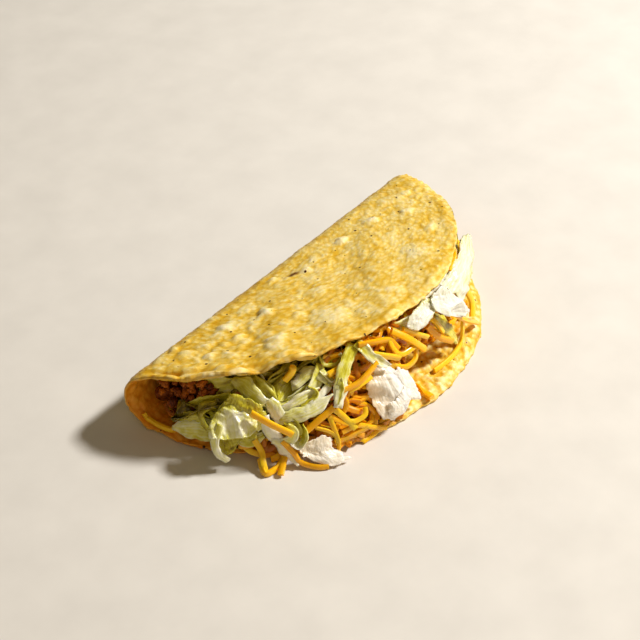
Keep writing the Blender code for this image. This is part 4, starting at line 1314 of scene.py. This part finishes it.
# %% [markdown]
# Cheddar is a smooth, waxy, slightly see-through solid. It scatters light inside, which warms its
# shaded sides, and a thin film of fat makes soft highlights. Each shred has its own tone, and the
# ones that lie deep in the heap are darker, because little light gets down to them.
# %% Mild cheddar
cheddar = start_material("mild cheddar")
cheddar_tone = add_node(cheddar, "ShaderNodeAttribute", {"attribute_name": "tone"}).outputs["Fac"]
cheddar_place = add_node(cheddar, "ShaderNodeAttribute", {"attribute_name": "grain"}).outputs["Vector"]
CHEDDAR_STOPS = [(0.0, "b06204"), (0.14, "dc9004"), (0.3, "f6ae04"), (0.6, "fbba06"), (1.0, "fecd20")]
CURD_SIZE = 0.7                  # millimetres; real curd is finer, and would not show
cheddar_ramp = set_ramp(add_node(cheddar, "ShaderNodeValToRGB", Fac=cheddar_tone), CHEDDAR_STOPS)
cheddar_grain = add_node(cheddar, "ShaderNodeTexNoise", Vector=cheddar_place,
                         Scale=1 / CURD_SIZE, Detail=2.0)
cheddar_bump = add_node(cheddar, "ShaderNodeBump", Strength=0.3, Distance=0.0002,
                        Height=cheddar_grain.outputs["Fac"])
finish(cheddar, cheddar_ramp.outputs["Color"], cheddar_bump,
       Roughness=0.36, IOR=1.46, Specular_IOR_Level=0.35, Coat_Weight=0.35, Coat_Roughness=0.12,
       Subsurface_Weight=0.35, Subsurface_Radius=(1.0, 0.6, 0.12), Subsurface_Scale=0.0015)
add_piece(cheese.make("cheddar_shreds"), "cheddar_shreds", "cheddar", cheddar, "shredded_cheese", crisp=38)

# %% [markdown]
# Iceberg lettuce is a wet, thin leaf: nearly white at the rib, pale green in the blade and darker
# only at its rim. Fine parallel veins run along each strip, and a ridged noise gives the crinkles
# between them. Light passes through it, so the shade side glows, and its wet skin glints. The
# tone that each strip was given picks its colour on a ramp, and the veins shift it; the crinkles
# shift it too, as painted light paler on their ridges and painted shade darker in their creases.
# %% Iceberg lettuce
CLOUD_SIZE = 3.0                                   # millimetres
VEIN_STRETCH, CRINKLE_STRETCH = (0.12, 1.6, 0.6), (0.45, 0.8, 0.8)


def make_lettuce(name, stops, streaks, crinkles, depth):
    """Make a leaf finish from a ramp that runs from the rib's colour to the leaf rim's.

    streaks and crinkles say how far those shift the colour, the crinkles as painted light on
    their ridges and painted shade in their creases, and depth is how deep light goes, in metres.
    """
    leaf = start_material(name)
    tone = add_node(leaf, "ShaderNodeAttribute", {"attribute_name": "tone"}).outputs["Fac"]
    place = add_node(leaf, "ShaderNodeAttribute", {"attribute_name": "grain"}).outputs["Vector"]
    along_vein = add_node(leaf, "ShaderNodeMapping", Vector=place, Scale=VEIN_STRETCH)
    veins = add_node(leaf, "ShaderNodeTexNoise", Vector=along_vein.outputs["Vector"],
                     Scale=1.0, Detail=3.0, Roughness=0.55)
    clouds = add_node(leaf, "ShaderNodeTexNoise", Vector=place, Scale=1 / CLOUD_SIZE, Detail=2.0)
    across_vein = add_node(leaf, "ShaderNodeMapping", Vector=place, Scale=CRINKLE_STRETCH)
    wrinkles = add_node(leaf, "ShaderNodeTexNoise", {"noise_type": "RIDGED_MULTIFRACTAL"},
                        Vector=across_vein.outputs["Vector"],
                        Scale=1.0, Detail=3.0, Roughness=0.5, Offset=1.0, Gain=1.0)
    shift = 0.8 * crinkles - streaks               # so that the middle of the noises shifts nothing
    # The crinkles paint light and shade: their ridges come out paler and their creases darker.
    for part, weight in ((clouds, streaks), (veins, streaks), (wrinkles, -crinkles)):
        shift = add_node(leaf, "ShaderNodeMath", {"operation": "MULTIPLY_ADD"},
                         in0=part.outputs["Fac"], in1=weight, in2=shift).outputs[0]
    spot = add_node(leaf, "ShaderNodeMath", {"operation": "ADD"}, in0=tone, in1=shift)
    colour = set_ramp(add_node(leaf, "ShaderNodeValToRGB", Fac=spot.outputs[0]), stops)
    height = add_node(leaf, "ShaderNodeMath", {"operation": "MULTIPLY_ADD"},
                      in0=wrinkles.outputs["Fac"], in1=0.4, in2=veins.outputs["Fac"])
    bump = add_node(leaf, "ShaderNodeBump", Strength=0.35, Distance=0.0006, Height=height.outputs[0])
    finish(leaf, colour.outputs["Color"], bump,
           Roughness=0.2, IOR=1.4, Specular_IOR_Level=0.6, Coat_Weight=0.3, Coat_Roughness=0.12,
           Subsurface_Weight=0.5, Subsurface_Radius=(1.0, 1.0, 0.9), Subsurface_Scale=depth)
    return leaf


BLADE_STOPS = [(0.05, "f6f4dc"), (0.3, "e8e6a6"), (0.5, "d8d250"),
               (0.7, "c2b61e"), (0.88, "988606"), (1.0, "685802")]
blade = make_lettuce("iceberg lettuce blade", BLADE_STOPS, 0.75, 0.05, 0.0008)
add_piece(lettuce.make("lettuce_shreds"), "lettuce_shreds", "green_lettuce", blade, "shredded_lettuce")

# %% [markdown]
# The leaves nearer the heart are the same lettuce with less green: their blades are nearly white
# with a creamy yellow in the folds, which is partly painted shade. The ribs are thicker still,
# warm white all over, and their light goes deepest. So one function makes all three finishes
# from their own ramps.
# %% Iceberg lettuce heart
PALE_STOPS = [(0.0, "efede2"), (0.3, "e2e0c4"), (0.55, "d3d08c"), (0.8, "b5ab3c"), (1.0, "84760a")]
RIB_STOPS = [(0.0, "fff7ea"), (0.3, "f9e8d0"), (0.6, "e4cc9e"), (1.0, "a98f5c")]
pale = make_lettuce("iceberg lettuce heart", PALE_STOPS, 0.6, 0.14, 0.001)
add_piece(leaf_left.make("torn_leaf_left"), "torn_leaf_left", "green_lettuce", blade, "lettuce_leaf_left")
add_piece(leaf_right.make("torn_leaf_right"), "torn_leaf_right", "pale_lettuce", pale, "lettuce_leaf_right")
rib = make_lettuce("iceberg lettuce rib", RIB_STOPS, 0.3, 0.12, 0.001)
add_piece(leaf_low.make("torn_leaf_low"), "torn_leaf_low", "pale_lettuce", rib, "lettuce_leaf_low")
add_piece(heart.make("lettuce_heart_piece"), "lettuce_heart_piece", "pale_lettuce", rib, "lettuce_heart")

# %% [markdown]
# Browned beef is dark red-brown, paler where fat clings, and rough at every scale. It is moist
# with fat, but that shows as many tiny glints and not as a gloss, so the bump is strong and the
# shine is weak. The cores wear the finishes of the pieces that lie on them.
# %% Browned beef
MEAT_GRAIN = 0.8                 # millimetres
browned = start_material("browned ground beef")
browned_place = add_node(browned, "ShaderNodeAttribute", {"attribute_name": "grain"}).outputs["Vector"]
browned_tone = add_node(browned, "ShaderNodeAttribute", {"attribute_name": "tone"}).outputs["Fac"]
browned_noise = add_node(browned, "ShaderNodeTexNoise", Vector=browned_place,
                         Scale=1 / MEAT_GRAIN, Detail=4.0, Roughness=0.7)
browned_spot = add_node(browned, "ShaderNodeMath", {"operation": "MULTIPLY_ADD"},
                        in0=browned_tone, in1=0.4, in2=browned_noise.outputs["Fac"])
browned_ramp = set_ramp(add_node(browned, "ShaderNodeValToRGB", Fac=browned_spot.outputs[0]),
                        [(0.4, "301002"), (0.65, "763404"), (0.95, "bc680c")])
browned_bump = add_node(browned, "ShaderNodeBump", Strength=0.8, Distance=0.0004,
                        Height=browned_noise.outputs["Fac"])
finish(browned, browned_ramp.outputs["Color"], browned_bump,
       Roughness=0.45, IOR=1.45, Specular_IOR_Level=0.2)
add_piece(beef.make("beef_lumps"), "beef_lumps", "browned_beef", browned, "ground_beef")
add_piece(beef_core, "beef_core", "browned_beef", browned)
add_piece(lettuce_core, "lettuce_core", "green_lettuce", blade)
add_piece(cheese_core, "cheese_core", "cheddar", cheddar)
